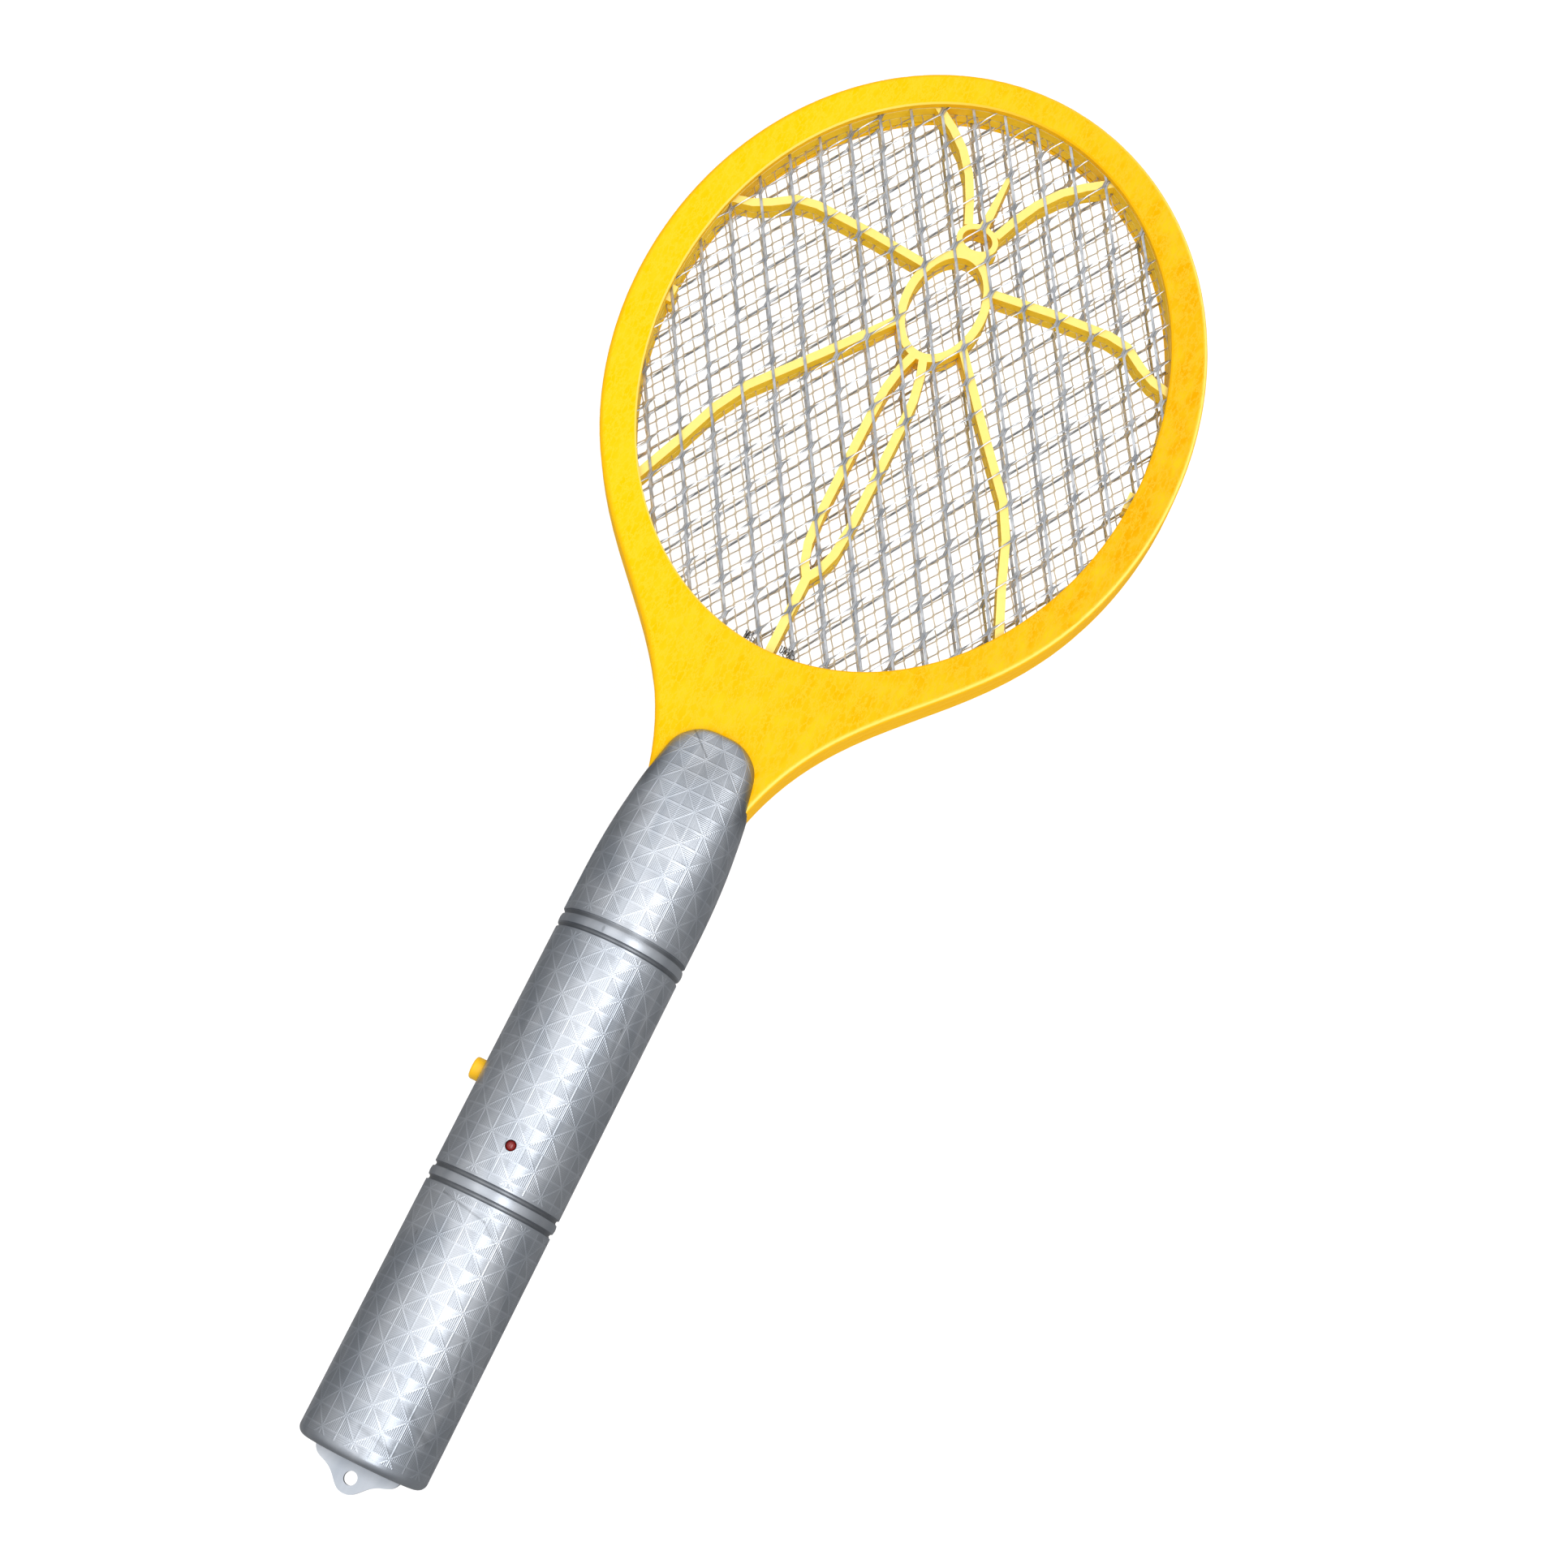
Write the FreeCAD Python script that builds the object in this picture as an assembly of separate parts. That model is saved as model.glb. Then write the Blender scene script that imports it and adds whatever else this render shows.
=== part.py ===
import FreeCAD
import Part
import math
import os

# Electric fly swatter: a battery racket with three grids in its head.
# Millimetres. The origin is the centre of the hanging hole in the tail tab.
# +Y runs along the handle to the head, +Z comes out of the front face, and
# the push button is on the -X side. One solid or group of solids per node.

V = FreeCAD.Vector
ORIGIN = V(0, 0, 0)
ALONG_X = V(1, 0, 0)
ALONG_Y = V(0, 1, 0)
ALONG_Z = V(0, 0, 1)
SIDES = (-1, 1)

# ---------------------------------------------------------------- clearances
SEAM = 0.1                  # half of the gap between a front and a back shell
TOUCH = 0.05                # gap left between neighbours in one body
RUN = 0.3                   # gap round a part that moves

# ---------------------------------------------------------------------- head
HEAD_Y = 350.5              # centre of the oval opening
OPEN_A, OPEN_B = 76.2, 94.3         # half width and half length of the opening
HEAD_A, HEAD_B = 87.3, 104.5        # the same for the outer oval
HEAD_HALF = 7.0             # half of the head's thickness
WALL = 1.8                  # side walls of the covers
FACE = 1.6                  # face plates of the covers
EDGE_R = 1.5                # rounding of the covers' outer edges
LIP = 2.0                   # width of the lip round the opening
BEVEL = 0.5                 # bevel on the lip's front edge

NECK_X, NECK_Y = 15.6, 210.0        # where the flared neck meets the handle
NECK_LEAN = math.radians(14.7)      # the neck's side leans out from +Y here
FLARE_JOIN = math.radians(117.6)    # where the flare joins the oval, from +Y
FLARE_PULL = 43.4           # length of both handles of the flare's curve
INSERT_X, INSERT_Y = 11.6, 188.0    # the part of the neck inside the handle

# ------------------------------------------------------- grids and rib frames
CENTRE_T = 0.4              # thickness of the fine centre grid
RIB_Z0, RIB_Z1 = 0.25, 4.0          # the front rib frame, between the grids
RING_W = 3.5                # width of the rib frames' outer rings
RIB_W = 2.6                 # width of a rib
GRID_Z0, GRID_Z1 = 4.05, 4.55       # the front coarse grid
GRID_A, GRID_B = OPEN_A + 3.7, OPEN_B + 3.7
GRID_BAND = 1.9             # solid band round a grid's edge, under the lips
COARSE_X, COARSE_Y = 11.0, 19.5     # coarse diamonds, between joints
COARSE_STRAND = 0.8
FINE_X, FINE_Y = 8.0, 12.8          # fine diamonds, at twice the real pitch
FINE_STRAND = 0.5
JOINT_Y = 407.5             # one joint of the grids lies here, at x = 0

# -------------------------------------------------------------------- handle
R_OUT = 19.0                # handle radius
SHELL = 2.0                 # shell thickness
TAIL_Y = 4.6                # the handle's end, under the tab
TAIL_R = 2.7                # rounding of the handle's end
TAPER_Y = 172.0             # the taper starts here
TAPER_PLAN_R = 214.0        # arc of the taper seen from the front
TAPER_SIDE_R = 159.0        # arc of the taper seen from the side
TONGUE_Y = 227.2            # tip of the tongues over the neck
NOSE_R = 8.5                # rounding of the tongues' tips
TIP_SQUARE = 2.6            # how much squarer than an oval the tongues' section gets
SECTION_STEPS = 12          # points round half a section of the taper, less one
TAPER_FRACTIONS = (0.0, 0.06, 0.2, 0.38, 0.56, 0.72, 0.82, 0.89, 0.94, 0.975, 0.992, 1.0)
RING_YS = (82.1, 160.4)     # two raised rings round the handle
RING_PITCH = 2.0            # from a ring's middle to its grooves
RING_HALF, RING_RISE = 1.25, 0.2
GROOVE_HALF, GROOVE_DEPTH = 0.75, 0.65
COLLAR_Y = RING_YS[1] + RING_PITCH + GROOVE_HALF    # the grip ends in the last groove here
NECK_SHELL = 2.4            # wall of the handle past the collar
TAB_T = 2.4                 # hanging tab thickness
HOLE_R = 1.9                # hanging hole
TAB_HALF = [(12.6, 6.0), (12.5, 4.0), (11.1, 2.2), (8.2, 1.0), (5.8, -0.4), (3.6, -2.6),
            (1.9, -3.9), (0.0, -4.3)]

# ------------------------------------------------------------ battery and door
DOOR_Y1 = 79.9              # the door's head end
DOOR_GAP = 0.3
CELL_R, CELL_L = 7.25, 49.3         # AA cell without its button
NUB_R, NUB_L = 2.75, 1.2
CELL_X = 7.45
LEFT_CELL_Y = 14.1          # start of the left cell, whose button points up
RIGHT_CELL_Y = 10.0         # start of the right cell, whose button points down
BULKHEAD_Y, BULKHEAD_T = 65.6, 1.6
CRADLE_YS = (20.0, 38.0, 56.0)
RAIL_Y0, RAIL_Y1 = 8.5, 78.0        # the rails that the door slides on
RAIL_X0, RAIL_X1 = 15.2, 16.2
RAIL_Z0 = -3.2
TOE_X, TOE_Z = 17.6, -2.0           # the toe that hooks under the door's edge
BRIDGE_Y = 7.6
CONTACT_Y = 64.9
PLATE_T = 0.4

# --------------------------------------------------------- board and controls
BOARD_X, BOARD_Y0, BOARD_Y1 = 15.0, 92.2, 158.5
BOARD_Z0, BOARD_T = -5.6, 1.6
BOARD_TOP = BOARD_Z0 + BOARD_T
LEG_R, LEG_REACH = 0.3, 1.8         # legs of the parts that lie on the board
LED_Y, LED_R = 96.1, 1.5
BUTTON_Y, BUTTON_R = 112.5, 3.25
BUTTON_OUT = 21.9           # the button's tip is this far from the handle's axis
FLANGE_X, FLANGE_R = -16.0, 4.5     # the button's flange, inside the shell
SWITCH_X = -13.8            # the switch's face, in a notch of the board
PLUNGER_R = 1.75

# --------------------------------------------------------------------- screws
RIM_SCREW_OUT = RING_W + 2.8        # from the opening's edge to a rim screw
RIM_POST_R, RIM_PILOT_R, RIM_HOLE_R = 2.4, 1.0, 1.2
RIM_HEAD_R, RIM_HEAD_T, RIM_SHANK_R = 1.95, 1.4, 0.95
RIM_RECESS_R, RIM_RECESS = 2.1, 2.0         # counterbore of the rim screws
NECK_POST_R, NECK_HOLE_R = 2.9, 1.75
FRONT_POST_R, FRONT_PILOT_R = 3.0, 1.35     # posts in the handle's front shell
BACK_POST_R, BACK_HOLE_R = 4.2, 1.6         # posts in its back shell
SCREW_RECESS_R, SCREW_RECESS_Z = 3.0, -10.0
SCREW_HEAD_R, SCREW_HEAD_T, SCREW_SHANK_R = 2.6, 1.9, 1.25
BOARD_POST_R, BOARD_PILOT_R = 2.6, 1.05
HANDLE_SCREWS = [(-11.0, 87.6), (11.0, 87.6), (-10.5, 166.8), (10.5, 166.8)]
NECK_SCREWS = [(-7.5, 199.0), (7.5, 199.0)]
RIM_SCREW_ANGLES = (0, 60, 120, 240, 300)   # degrees from +Y round the oval
NECK_COVER_SCREWS = [(-22.0, 240.0), (22.0, 240.0)]
BOARD_SCREWS = [(-11.5, 95.5), (11.5, 154.5)]


# ------------------------------------------------------------------- helpers
def box(x0, x1, y0, y1, z0, z1):
    return Part.makeBox(x1 - x0, y1 - y0, z1 - z0, V(x0, y0, z0))


def side_box(side, x0, x1, y0, y1, z0, z1):
    """Box between two distances from the mid plane, on one side of it."""
    low, high = sorted((side * x0, side * x1))
    return box(low, high, y0, y1, z0, z1)


def rod(radius, length, start, axis=ALONG_Z):
    return Part.makeCylinder(radius, length, start, axis)


def joined(shapes):
    whole = shapes[0].multiFuse(shapes[1:])
    return whole.removeSplitter()


def group(shapes):
    return Part.makeCompound(shapes)


def mirrored(shape):
    return shape.mirror(ORIGIN, ALONG_Z)


def prism(edges, z0, z1):
    face = Part.Face(Part.Wire(edges))
    face.translate(V(0, 0, z0))
    return face.extrude(V(0, 0, z1 - z0))


def oval_curve(half_x, half_y, centre_y=HEAD_Y):
    centre = V(0, centre_y, 0)
    if half_y > half_x:
        return Part.Ellipse(centre + V(0, half_y, 0), centre + V(half_x, 0, 0), centre)
    return Part.Ellipse(centre + V(half_x, 0, 0), centre + V(0, half_y, 0), centre)


def oval(half_x, half_y, z0, z1):
    return prism([oval_curve(half_x, half_y).toShape()], z0, z1)


def oval_point(half_x, half_y, angle):
    """Point on an oval round the opening's centre, the angle counted from +Y."""
    return V(half_x * math.sin(angle), HEAD_Y + half_y * math.cos(angle), 0)


def polygon(points):
    corners = [V(x, y, 0) for x, y in points]
    return Part.makePolygon(corners + corners[:1]).Edges


# ---------------------------------------------------------------------- head
def flare_edge(side, inset):
    """Side of the neck, from the handle to the oval, moved inwards by inset."""
    lean = V(side * math.sin(NECK_LEAN), math.cos(NECK_LEAN), 0)
    start = V(side * (NECK_X - inset / math.cos(NECK_LEAN)), NECK_Y, 0)
    end = oval_point(HEAD_A - inset, HEAD_B - inset, side * FLARE_JOIN)
    down = V(side * HEAD_A * math.cos(FLARE_JOIN), -HEAD_B * math.sin(FLARE_JOIN), 0)
    down.normalize()
    curve = Part.BezierCurve()
    curve.setPoles([start, start + lean * FLARE_PULL, end + down * FLARE_PULL, end])
    return curve.toShape()


def head_outline(inset):
    """Closed outline of the oval head with its flared neck."""
    left = flare_edge(-1, inset)
    right = flare_edge(1, inset)
    oval_arc = oval_curve(HEAD_A - inset, HEAD_B - inset)
    first = oval_arc.parameter(left.Vertexes[-1].Point)
    last = oval_arc.parameter(right.Vertexes[-1].Point)
    if first > last:
        first -= 2 * math.pi
    base = Part.LineSegment(right.Vertexes[0].Point, left.Vertexes[0].Point).toShape()
    return [left, oval_arc.toShape(first, last), right, base]


def rim_screw_points():
    half_x, half_y = OPEN_A + RIM_SCREW_OUT, OPEN_B + RIM_SCREW_OUT
    points = [oval_point(half_x, half_y, math.radians(a)) for a in RIM_SCREW_ANGLES]
    return points + [V(x, y, 0) for x, y in NECK_COVER_SCREWS]


def cover_blank():
    """The front half of the head as a solid, its outer edge rounded."""
    solid = prism(head_outline(0), SEAM, HEAD_HALF)
    rim = [e for e in solid.Edges
           if e.BoundBox.ZMin > HEAD_HALF - 0.01 and e.BoundBox.YMax > NECK_Y + 1]
    return solid.makeFillet(EDGE_R, rim)


def opening():
    """The space of the head's opening, wider by the bevel at the front face."""
    hole = oval(OPEN_A, OPEN_B, -1, HEAD_HALF + 1)
    ends = []
    for grow in (-0.2, BEVEL + 0.2):
        end = Part.Wire([oval_curve(OPEN_A + grow, OPEN_B + grow).toShape()])
        end.translate(V(0, 0, HEAD_HALF - BEVEL + grow))
        ends.append(end)
    return group([hole, Part.makeLoft(ends, True, True)])


def cover_hollow():
    """The space inside the front cover, with room for the grid and the frame."""
    step = HEAD_HALF - FACE
    deep = prism(head_outline(WALL), 0, step)
    keep = oval(OPEN_A + LIP, OPEN_B + LIP, GRID_Z1 + TOUCH, step + 1)
    return deep.cut(keep)


def rim_cover(front):
    """One cover of the head: face, side wall, lip, screw posts and neck insert."""
    cover = cover_blank().cut(cover_hollow()).cut(opening())
    insert = box(-INSERT_X, INSERT_X, INSERT_Y, NECK_Y + 1, SEAM, HEAD_HALF - 0.1)
    tunnel = box(-INSERT_X + WALL, INSERT_X - WALL, INSERT_Y - 1, NECK_Y + 4, 0,
                 HEAD_HALF - FACE - 0.1)
    height = HEAD_HALF - SEAM - FACE / 2
    posts = [rod(RIM_POST_R, height, p + V(0, 0, SEAM)) for p in rim_screw_points()]
    posts += [rod(NECK_POST_R, height, V(x, y, SEAM)) for x, y in NECK_SCREWS]
    cover = joined([cover.cut(tunnel), insert.cut(tunnel)] + posts)
    through = 2 * HEAD_HALF
    holes = [rod(NECK_HOLE_R, through, V(x, y, -1)) for x, y in NECK_SCREWS]
    for p in rim_screw_points():
        if front:
            holes.append(rod(RIM_PILOT_R, HEAD_HALF - FACE, p + V(0, 0, -1)))
        else:
            holes.append(rod(RIM_HOLE_R, through, p + V(0, 0, -1)))
            holes.append(rod(RIM_RECESS_R, RIM_RECESS + 1, p + V(0, 0, HEAD_HALF - RIM_RECESS)))
    cover = cover.cut(group(holes))
    return cover if front else mirrored(cover)


def rim_screws():
    """Self-tapping screws from the back, their heads in the counterbores."""
    head_z = -HEAD_HALF + RIM_RECESS - TOUCH - RIM_HEAD_T
    length = HEAD_HALF - FACE - 1.2 - head_z - RIM_HEAD_T
    return group([pan_screw(p.x, p.y, head_z, RIM_HEAD_R, RIM_HEAD_T, RIM_SHANK_R, length)
                  for p in rim_screw_points()])


# ------------------------------------------------------- grids and rib frames
def diamond_holes(pitch_x, pitch_y, strand, half_x, half_y):
    """Outlines of the open diamonds of an expanded-metal grid, inside an oval."""
    slant = math.hypot(pitch_x, pitch_y)
    shrink = 1 - strand * slant / (pitch_x * pitch_y)
    dx, dy = pitch_x / 2 * shrink, pitch_y / 2 * shrink
    limit = Part.Face(Part.Wire([oval_curve(half_x, half_y).toShape()]))
    rows = range(int(-2 * half_y / pitch_y) - 9, int(2 * half_y / pitch_y) + 2)
    columns = range(int(-2 * half_x / pitch_x) - 2, int(2 * half_x / pitch_x) + 3)
    holes = []
    for row in rows:
        for column in columns:
            if (row + column) % 2 == 0:
                continue
            x, y = column * pitch_x / 2, JOINT_Y + row * pitch_y / 2
            corners = [(x - dx, y), (x, y - dy), (x + dx, y), (x, y + dy)]
            reach = [math.hypot(a / half_x, (b - HEAD_Y) / half_y) for a, b in corners]
            if min(reach) >= 1:
                continue
            face = Part.Face(Part.Wire(polygon(corners)))
            if max(reach) > 0.995:
                cut = face.common(limit)
                holes += [f.OuterWire for f in cut.Faces if f.Area > 1.0]
            else:
                holes.append(face.OuterWire)
    return holes


def expanded_grid(pitch_x, pitch_y, strand, z0, z1):
    outer = Part.Wire([oval_curve(GRID_A, GRID_B).toShape()])
    holes = diamond_holes(pitch_x, pitch_y, strand, GRID_A - GRID_BAND, GRID_B - GRID_BAND)
    sheet = Part.makeFace([outer] + holes, "Part::FaceMakerBullseye")
    sheet.translate(V(0, 0, z0))
    return sheet.extrude(V(0, 0, z1 - z0))


def ribbon(points, width):
    """Flat strip of constant width along straight runs, mitred at their corners."""
    line = [V(x, y, 0) for x, y in points]
    runs = [(end - start).normalize() for start, end in zip(line, line[1:])]
    left, right = [], []
    for corner, before, after in zip(line, runs[:1] + runs, runs + runs[-1:]):
        across = V(-before.y - after.y, before.x + after.x, 0).normalize()
        reach = width / 2 / across.dot(V(-before.y, before.x, 0))
        left.append(corner + across * reach)
        right.append(corner - across * reach)
    corners = left + right[::-1]
    return Part.makePolygon(corners + corners[:1]).Edges


def ring_rib(centre_y, half_x, half_y, width):
    """Oval ring of rib width, seen from the front."""
    outer_x, outer_y = half_x + width / 2, half_y + width / 2
    inner_x, inner_y = half_x - width / 2, half_y - width / 2
    parts = []
    for a, b in ((outer_x, outer_y), (inner_x, inner_y)):
        parts.append(prism([oval_curve(a, b, centre_y).toShape()], RIB_Z0, RIB_Z1))
    return parts[0].cut(parts[1])


FRONT_LEG = [(4.6, 406.0), (7.6, 413.5), (11.4, 421.2), (16.6, 428.2), (22.2, 433.2), (30.0, 438.6)]
MIDDLE_LEG = [(11.4, 388.4), (30.0, 390.5), (48.5, 391.6), (55.0, 390.6), (61.5, 386.2),
              (66.5, 383.6), (73.5, 382.0)]
LOWER_LEG = [(10.6, 368.4), (26.5, 348.1), (42.0, 329.0), (47.6, 318.5), (52.6, 304.5), (59.0, 288.5)]
TAIL_RAIL = [(1.2, 361.0), (3.2, 354.5), (4.6, 346.0), (4.9, 336.0), (4.9, 302.0), (4.2, 292.0),
             (2.4, 286.0), (0.3, 282.5)]
PROBOSCIS = [(-1.5, 407.0), (1.5, 407.0), (0.6, 427.6), (-0.6, 427.6)]


def front_rib_frame():
    """Ring and ribs that hold the grids apart, drawn as a mosquito."""
    ring = oval(OPEN_A + RING_W, OPEN_B + RING_W, RIB_Z0, RIB_Z1)
    ring = ring.cut(oval(OPEN_A, OPEN_B, RIB_Z0 - 1, RIB_Z1 + 1))
    parts = [ring, ring_rib(378.4, 11.8, 18.1, RIB_W)]
    insect_head = ring_rib(402.4, 5.6, 4.4, 1.8)
    parts.append(insect_head)
    parts.append(box(-5.6, 5.6, 396.6, 398.8, RIB_Z0, RIB_Z1))
    for line in (FRONT_LEG, MIDDLE_LEG, LOWER_LEG, TAIL_RAIL):
        for side in SIDES:
            edges = ribbon([(side * x, y) for x, y in line], RIB_W)
            parts.append(prism(edges, RIB_Z0, RIB_Z1))
    parts.append(box(-RIB_W / 2, RIB_W / 2, HEAD_Y - OPEN_B - 1, 283.5, RIB_Z0, RIB_Z1))
    parts.append(prism(polygon(PROBOSCIS), RIB_Z0, RIB_Z1))
    for side in SIDES:
        parts.append(side_box(side, OPEN_A - 1.8, OPEN_A + 1, 343.0, 348.5, 1.4, RIB_Z1))
    return joined(parts)


# -------------------------------------------------------------------- handle
def half_section(y, inset):
    """Front half of the taper's section at y, an oval that grows squarer to the tip."""
    tip = TONGUE_Y - 1.2 * inset
    nose = NOSE_R - 0.6 * inset
    along = max(0.0, y - TAPER_Y)
    half_x = R_OUT - along ** 2 / (2 * TAPER_PLAN_R) - inset
    half_z = R_OUT - along ** 2 / (2 * TAPER_SIDE_R) - inset
    into_nose = max(0.0, y - (tip - nose))
    half_x -= nose - math.sqrt(max(nose ** 2 - into_nose ** 2, 0.0))
    edge = max(0.0, y - (tip - EDGE_R))
    half_z -= EDGE_R - math.sqrt(max(EDGE_R ** 2 - edge ** 2, 0.0))
    squareness = 2.0 + TIP_SQUARE * (along / (TONGUE_Y - TAPER_Y)) ** 1.5
    points = []
    for i in range(SECTION_STEPS + 1):
        angle = math.pi * i / SECTION_STEPS
        c, s = math.cos(angle), max(math.sin(angle), 0.0)
        x = half_x * math.copysign(abs(c) ** (2 / squareness), c)
        points.append(V(x, y, half_z * s ** (2 / squareness)))
    curve = Part.BSplineCurve()
    curve.interpolate(Points=points, InitialTangent=ALONG_Z, FinalTangent=-ALONG_Z)
    base = Part.LineSegment(points[-1], points[0])
    return Part.Wire([curve.toShape(), base.toShape()])


def half_taper(inset):
    """Front half of the handle past the collar, solid, its surface moved inwards."""
    tip = TONGUE_Y - 1.2 * inset
    straight = [COLLAR_Y + (TAPER_Y - COLLAR_Y) * i / 3 for i in range(3)]
    curved = [TAPER_Y + (tip - TAPER_Y) * f for f in TAPER_FRACTIONS]
    return Part.makeLoft([half_section(y, inset) for y in straight + curved], True, False)


def ring_edges(ring_y):
    """Profile of one ring: a groove, a raised bead and a groove."""
    edges = []
    for middle, half, rise in ((-RING_PITCH, GROOVE_HALF, -GROOVE_DEPTH),
                               (0, RING_HALF, RING_RISE),
                               (RING_PITCH, GROOVE_HALF, -GROOVE_DEPTH)):
        y = ring_y + middle
        edges.append(Part.Arc(V(R_OUT, y - half, 0), V(R_OUT + rise, y, 0),
                              V(R_OUT, y + half, 0)).toShape())
    return edges


def open_line(points):
    return Part.makePolygon([V(x, y, 0) for x, y in points]).Edges


def half_grip():
    """Front half of the round grip, with its rounded end and its two rings."""
    corner = V(R_OUT - TAIL_R, TAIL_Y + TAIL_R, 0)
    slant = TAIL_R * math.sqrt(0.5)
    lower, upper = ring_edges(RING_YS[0]), ring_edges(RING_YS[1])[:2]
    end = [Part.Arc(V(corner.x, TAIL_Y, 0), corner + V(slant, -slant, 0),
                    V(R_OUT, corner.y, 0)).toShape()]
    last_y = RING_YS[1] + RING_HALF
    bottom = R_OUT - GROOVE_DEPTH
    lines = open_line([(R_OUT, corner.y), (R_OUT, RING_YS[0] - RING_PITCH - GROOVE_HALF)])
    lines += open_line([(R_OUT, RING_YS[0] + RING_PITCH + GROOVE_HALF),
                        (R_OUT, RING_YS[1] - RING_PITCH - GROOVE_HALF)])
    lines += open_line([(R_OUT, last_y), (bottom, last_y), (bottom, COLLAR_Y), (0, COLLAR_Y),
                        (0, TAIL_Y), (corner.x, TAIL_Y)])
    edges = Part.sortEdges(end + lower + upper + lines)[0]
    return Part.Face(Part.Wire(edges)).revolve(ORIGIN, -ALONG_Y, 180)


def half_handle():
    """Front half of the handle, solid."""
    return half_grip().fuse(half_taper(0))


def half_hollow():
    """The space inside the front half of the handle."""
    radius = R_OUT - SHELL
    corners = [(0, TAIL_Y + SHELL), (radius, TAIL_Y + SHELL), (radius, COLLAR_Y), (0, COLLAR_Y)]
    bore = Part.Face(Part.Wire(polygon(corners))).revolve(ORIGIN, -ALONG_Y, 180)
    return bore.fuse(half_taper(NECK_SHELL))


def half_shell():
    """The wall of the handle on the +Z side, with the mouth for the neck."""
    wall = half_handle().cut(half_hollow())
    wall.translate(V(0, 0, SEAM))
    mouth = box(-40, 40, NECK_Y - TOUCH, TONGUE_Y + 5, -1, HEAD_HALF + 0.05)
    return wall.cut(mouth)


def tab():
    left = [V(-x, y, 0) for x, y in TAB_HALF]
    right = [V(x, y, 0) for x, y in reversed(TAB_HALF[:-1])]
    side = Part.BSplineCurve()
    side.interpolate(left + right)
    base = Part.LineSegment(V(TAB_HALF[0][0], TAB_HALF[0][1], 0), left[0])
    plate = prism([side.toShape(), base.toShape()], 0, TAB_T)
    return plate.cut(rod(HOLE_R, 10, V(0, 0, -2)))


def battery_cradle(bore):
    """Bulkhead and three saddles under the cells, inside the front shell."""
    plates = [box(-R_OUT, R_OUT, y, y + 1.2, 2.5, R_OUT) for y in CRADLE_YS]
    plates.append(box(-R_OUT, R_OUT, BULKHEAD_Y, BULKHEAD_Y + BULKHEAD_T, SEAM, R_OUT))
    plates.append(box(-14.4, 14.4, BULKHEAD_Y, BULKHEAD_Y + BULKHEAD_T, -8, 1))
    cradle = joined(plates)
    cells = [rod(CELL_R + 0.1, BULKHEAD_Y - 0.2, V(s * CELL_X, 0, 0), ALONG_Y) for s in SIDES]
    notches = [box(s * 12 - 1.3, s * 12 + 1.3, BULKHEAD_Y - 1, BULKHEAD_Y + 3, -5.2, -2.2)
               for s in SIDES]
    slots = [box(s * CELL_X - 1.2, s * CELL_X + 1.2, BULKHEAD_Y - 1, BULKHEAD_Y + 3, -0.35, 0.35)
             for s in SIDES]
    return cradle.cut(group(cells + notches + slots)).common(bore)


def door_rails():
    """Hooked rails along the front shell's edges, which guide the door."""
    rails = []
    for side in SIDES:
        for x1, z0, z1 in ((R_OUT - SHELL + 0.4, SEAM, 2.0), (RAIL_X1, RAIL_Z0, 1.0),
                           (TOE_X, RAIL_Z0, TOE_Z)):
            rails.append(side_box(side, RAIL_X0, x1, RAIL_Y0, RAIL_Y1, z0, z1))
    return rails


def grip_limit():
    """A rod that ends inside the grip's wall, to trim inner walls and posts."""
    return rod(R_OUT - SHELL / 2, TAPER_Y - TAIL_Y - 1, V(0, TAIL_Y + 1, 0), ALONG_Y)


def handle_front_shell(wall):
    grip, neck = grip_limit(), half_taper(SHELL / 2)
    posts = [rod(FRONT_POST_R, R_OUT, V(x, y, 1.0)).common(grip) for x, y in HANDLE_SCREWS]
    posts += [rod(FRONT_POST_R, R_OUT, V(x, y, HEAD_HALF + TOUCH)).common(neck)
              for x, y in NECK_SCREWS]
    shell = joined([wall, tab(), battery_cradle(grip)] + door_rails() + posts)
    pilots = [rod(FRONT_PILOT_R, 12.5, V(x, y, 0)) for x, y in HANDLE_SCREWS]
    pilots += [rod(FRONT_PILOT_R, 4.5, V(x, y, HEAD_HALF - 0.5)) for x, y in NECK_SCREWS]
    shell = shell.cut(group(pilots))
    shell = shell.cut(rod(LED_R + 0.1, 10, V(0, LED_Y, 14)))
    return shell.cut(button_hole())


def button_hole():
    return rod(BUTTON_R + RUN, 8, V(-23, BUTTON_Y, 0), ALONG_X)


def handle_back_shell(wall):
    shell = mirrored(wall).common(box(-40, 40, DOOR_Y1 + DOOR_GAP, 300, -60, 0))
    grip, neck = grip_limit(), mirrored(half_taper(SHELL / 2))
    posts = []
    for screws, top, limit in ((HANDLE_SCREWS, -1.0, grip), (NECK_SCREWS, -HEAD_HALF - TOUCH, neck)):
        posts += [rod(BACK_POST_R, R_OUT + top, V(x, y, -R_OUT)).common(limit)
                  for x, y in screws]
    for x, y in BOARD_SCREWS:
        posts.append(rod(BOARD_POST_R, R_OUT, V(x, y, BOARD_Z0 - TOUCH - R_OUT)).common(grip))
    shell = joined([shell] + posts)
    outside = -R_OUT - 5
    holes = [rod(BOARD_PILOT_R, 8, V(x, y, BOARD_Z0 - 6)) for x, y in BOARD_SCREWS]
    for x, y in HANDLE_SCREWS + NECK_SCREWS:
        holes.append(rod(BACK_HOLE_R, -outside, V(x, y, outside)))
        holes.append(rod(SCREW_RECESS_R, SCREW_RECESS_Z - outside, V(x, y, outside)))
    shell = shell.cut(group(holes))
    return shell.cut(button_hole())


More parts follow.
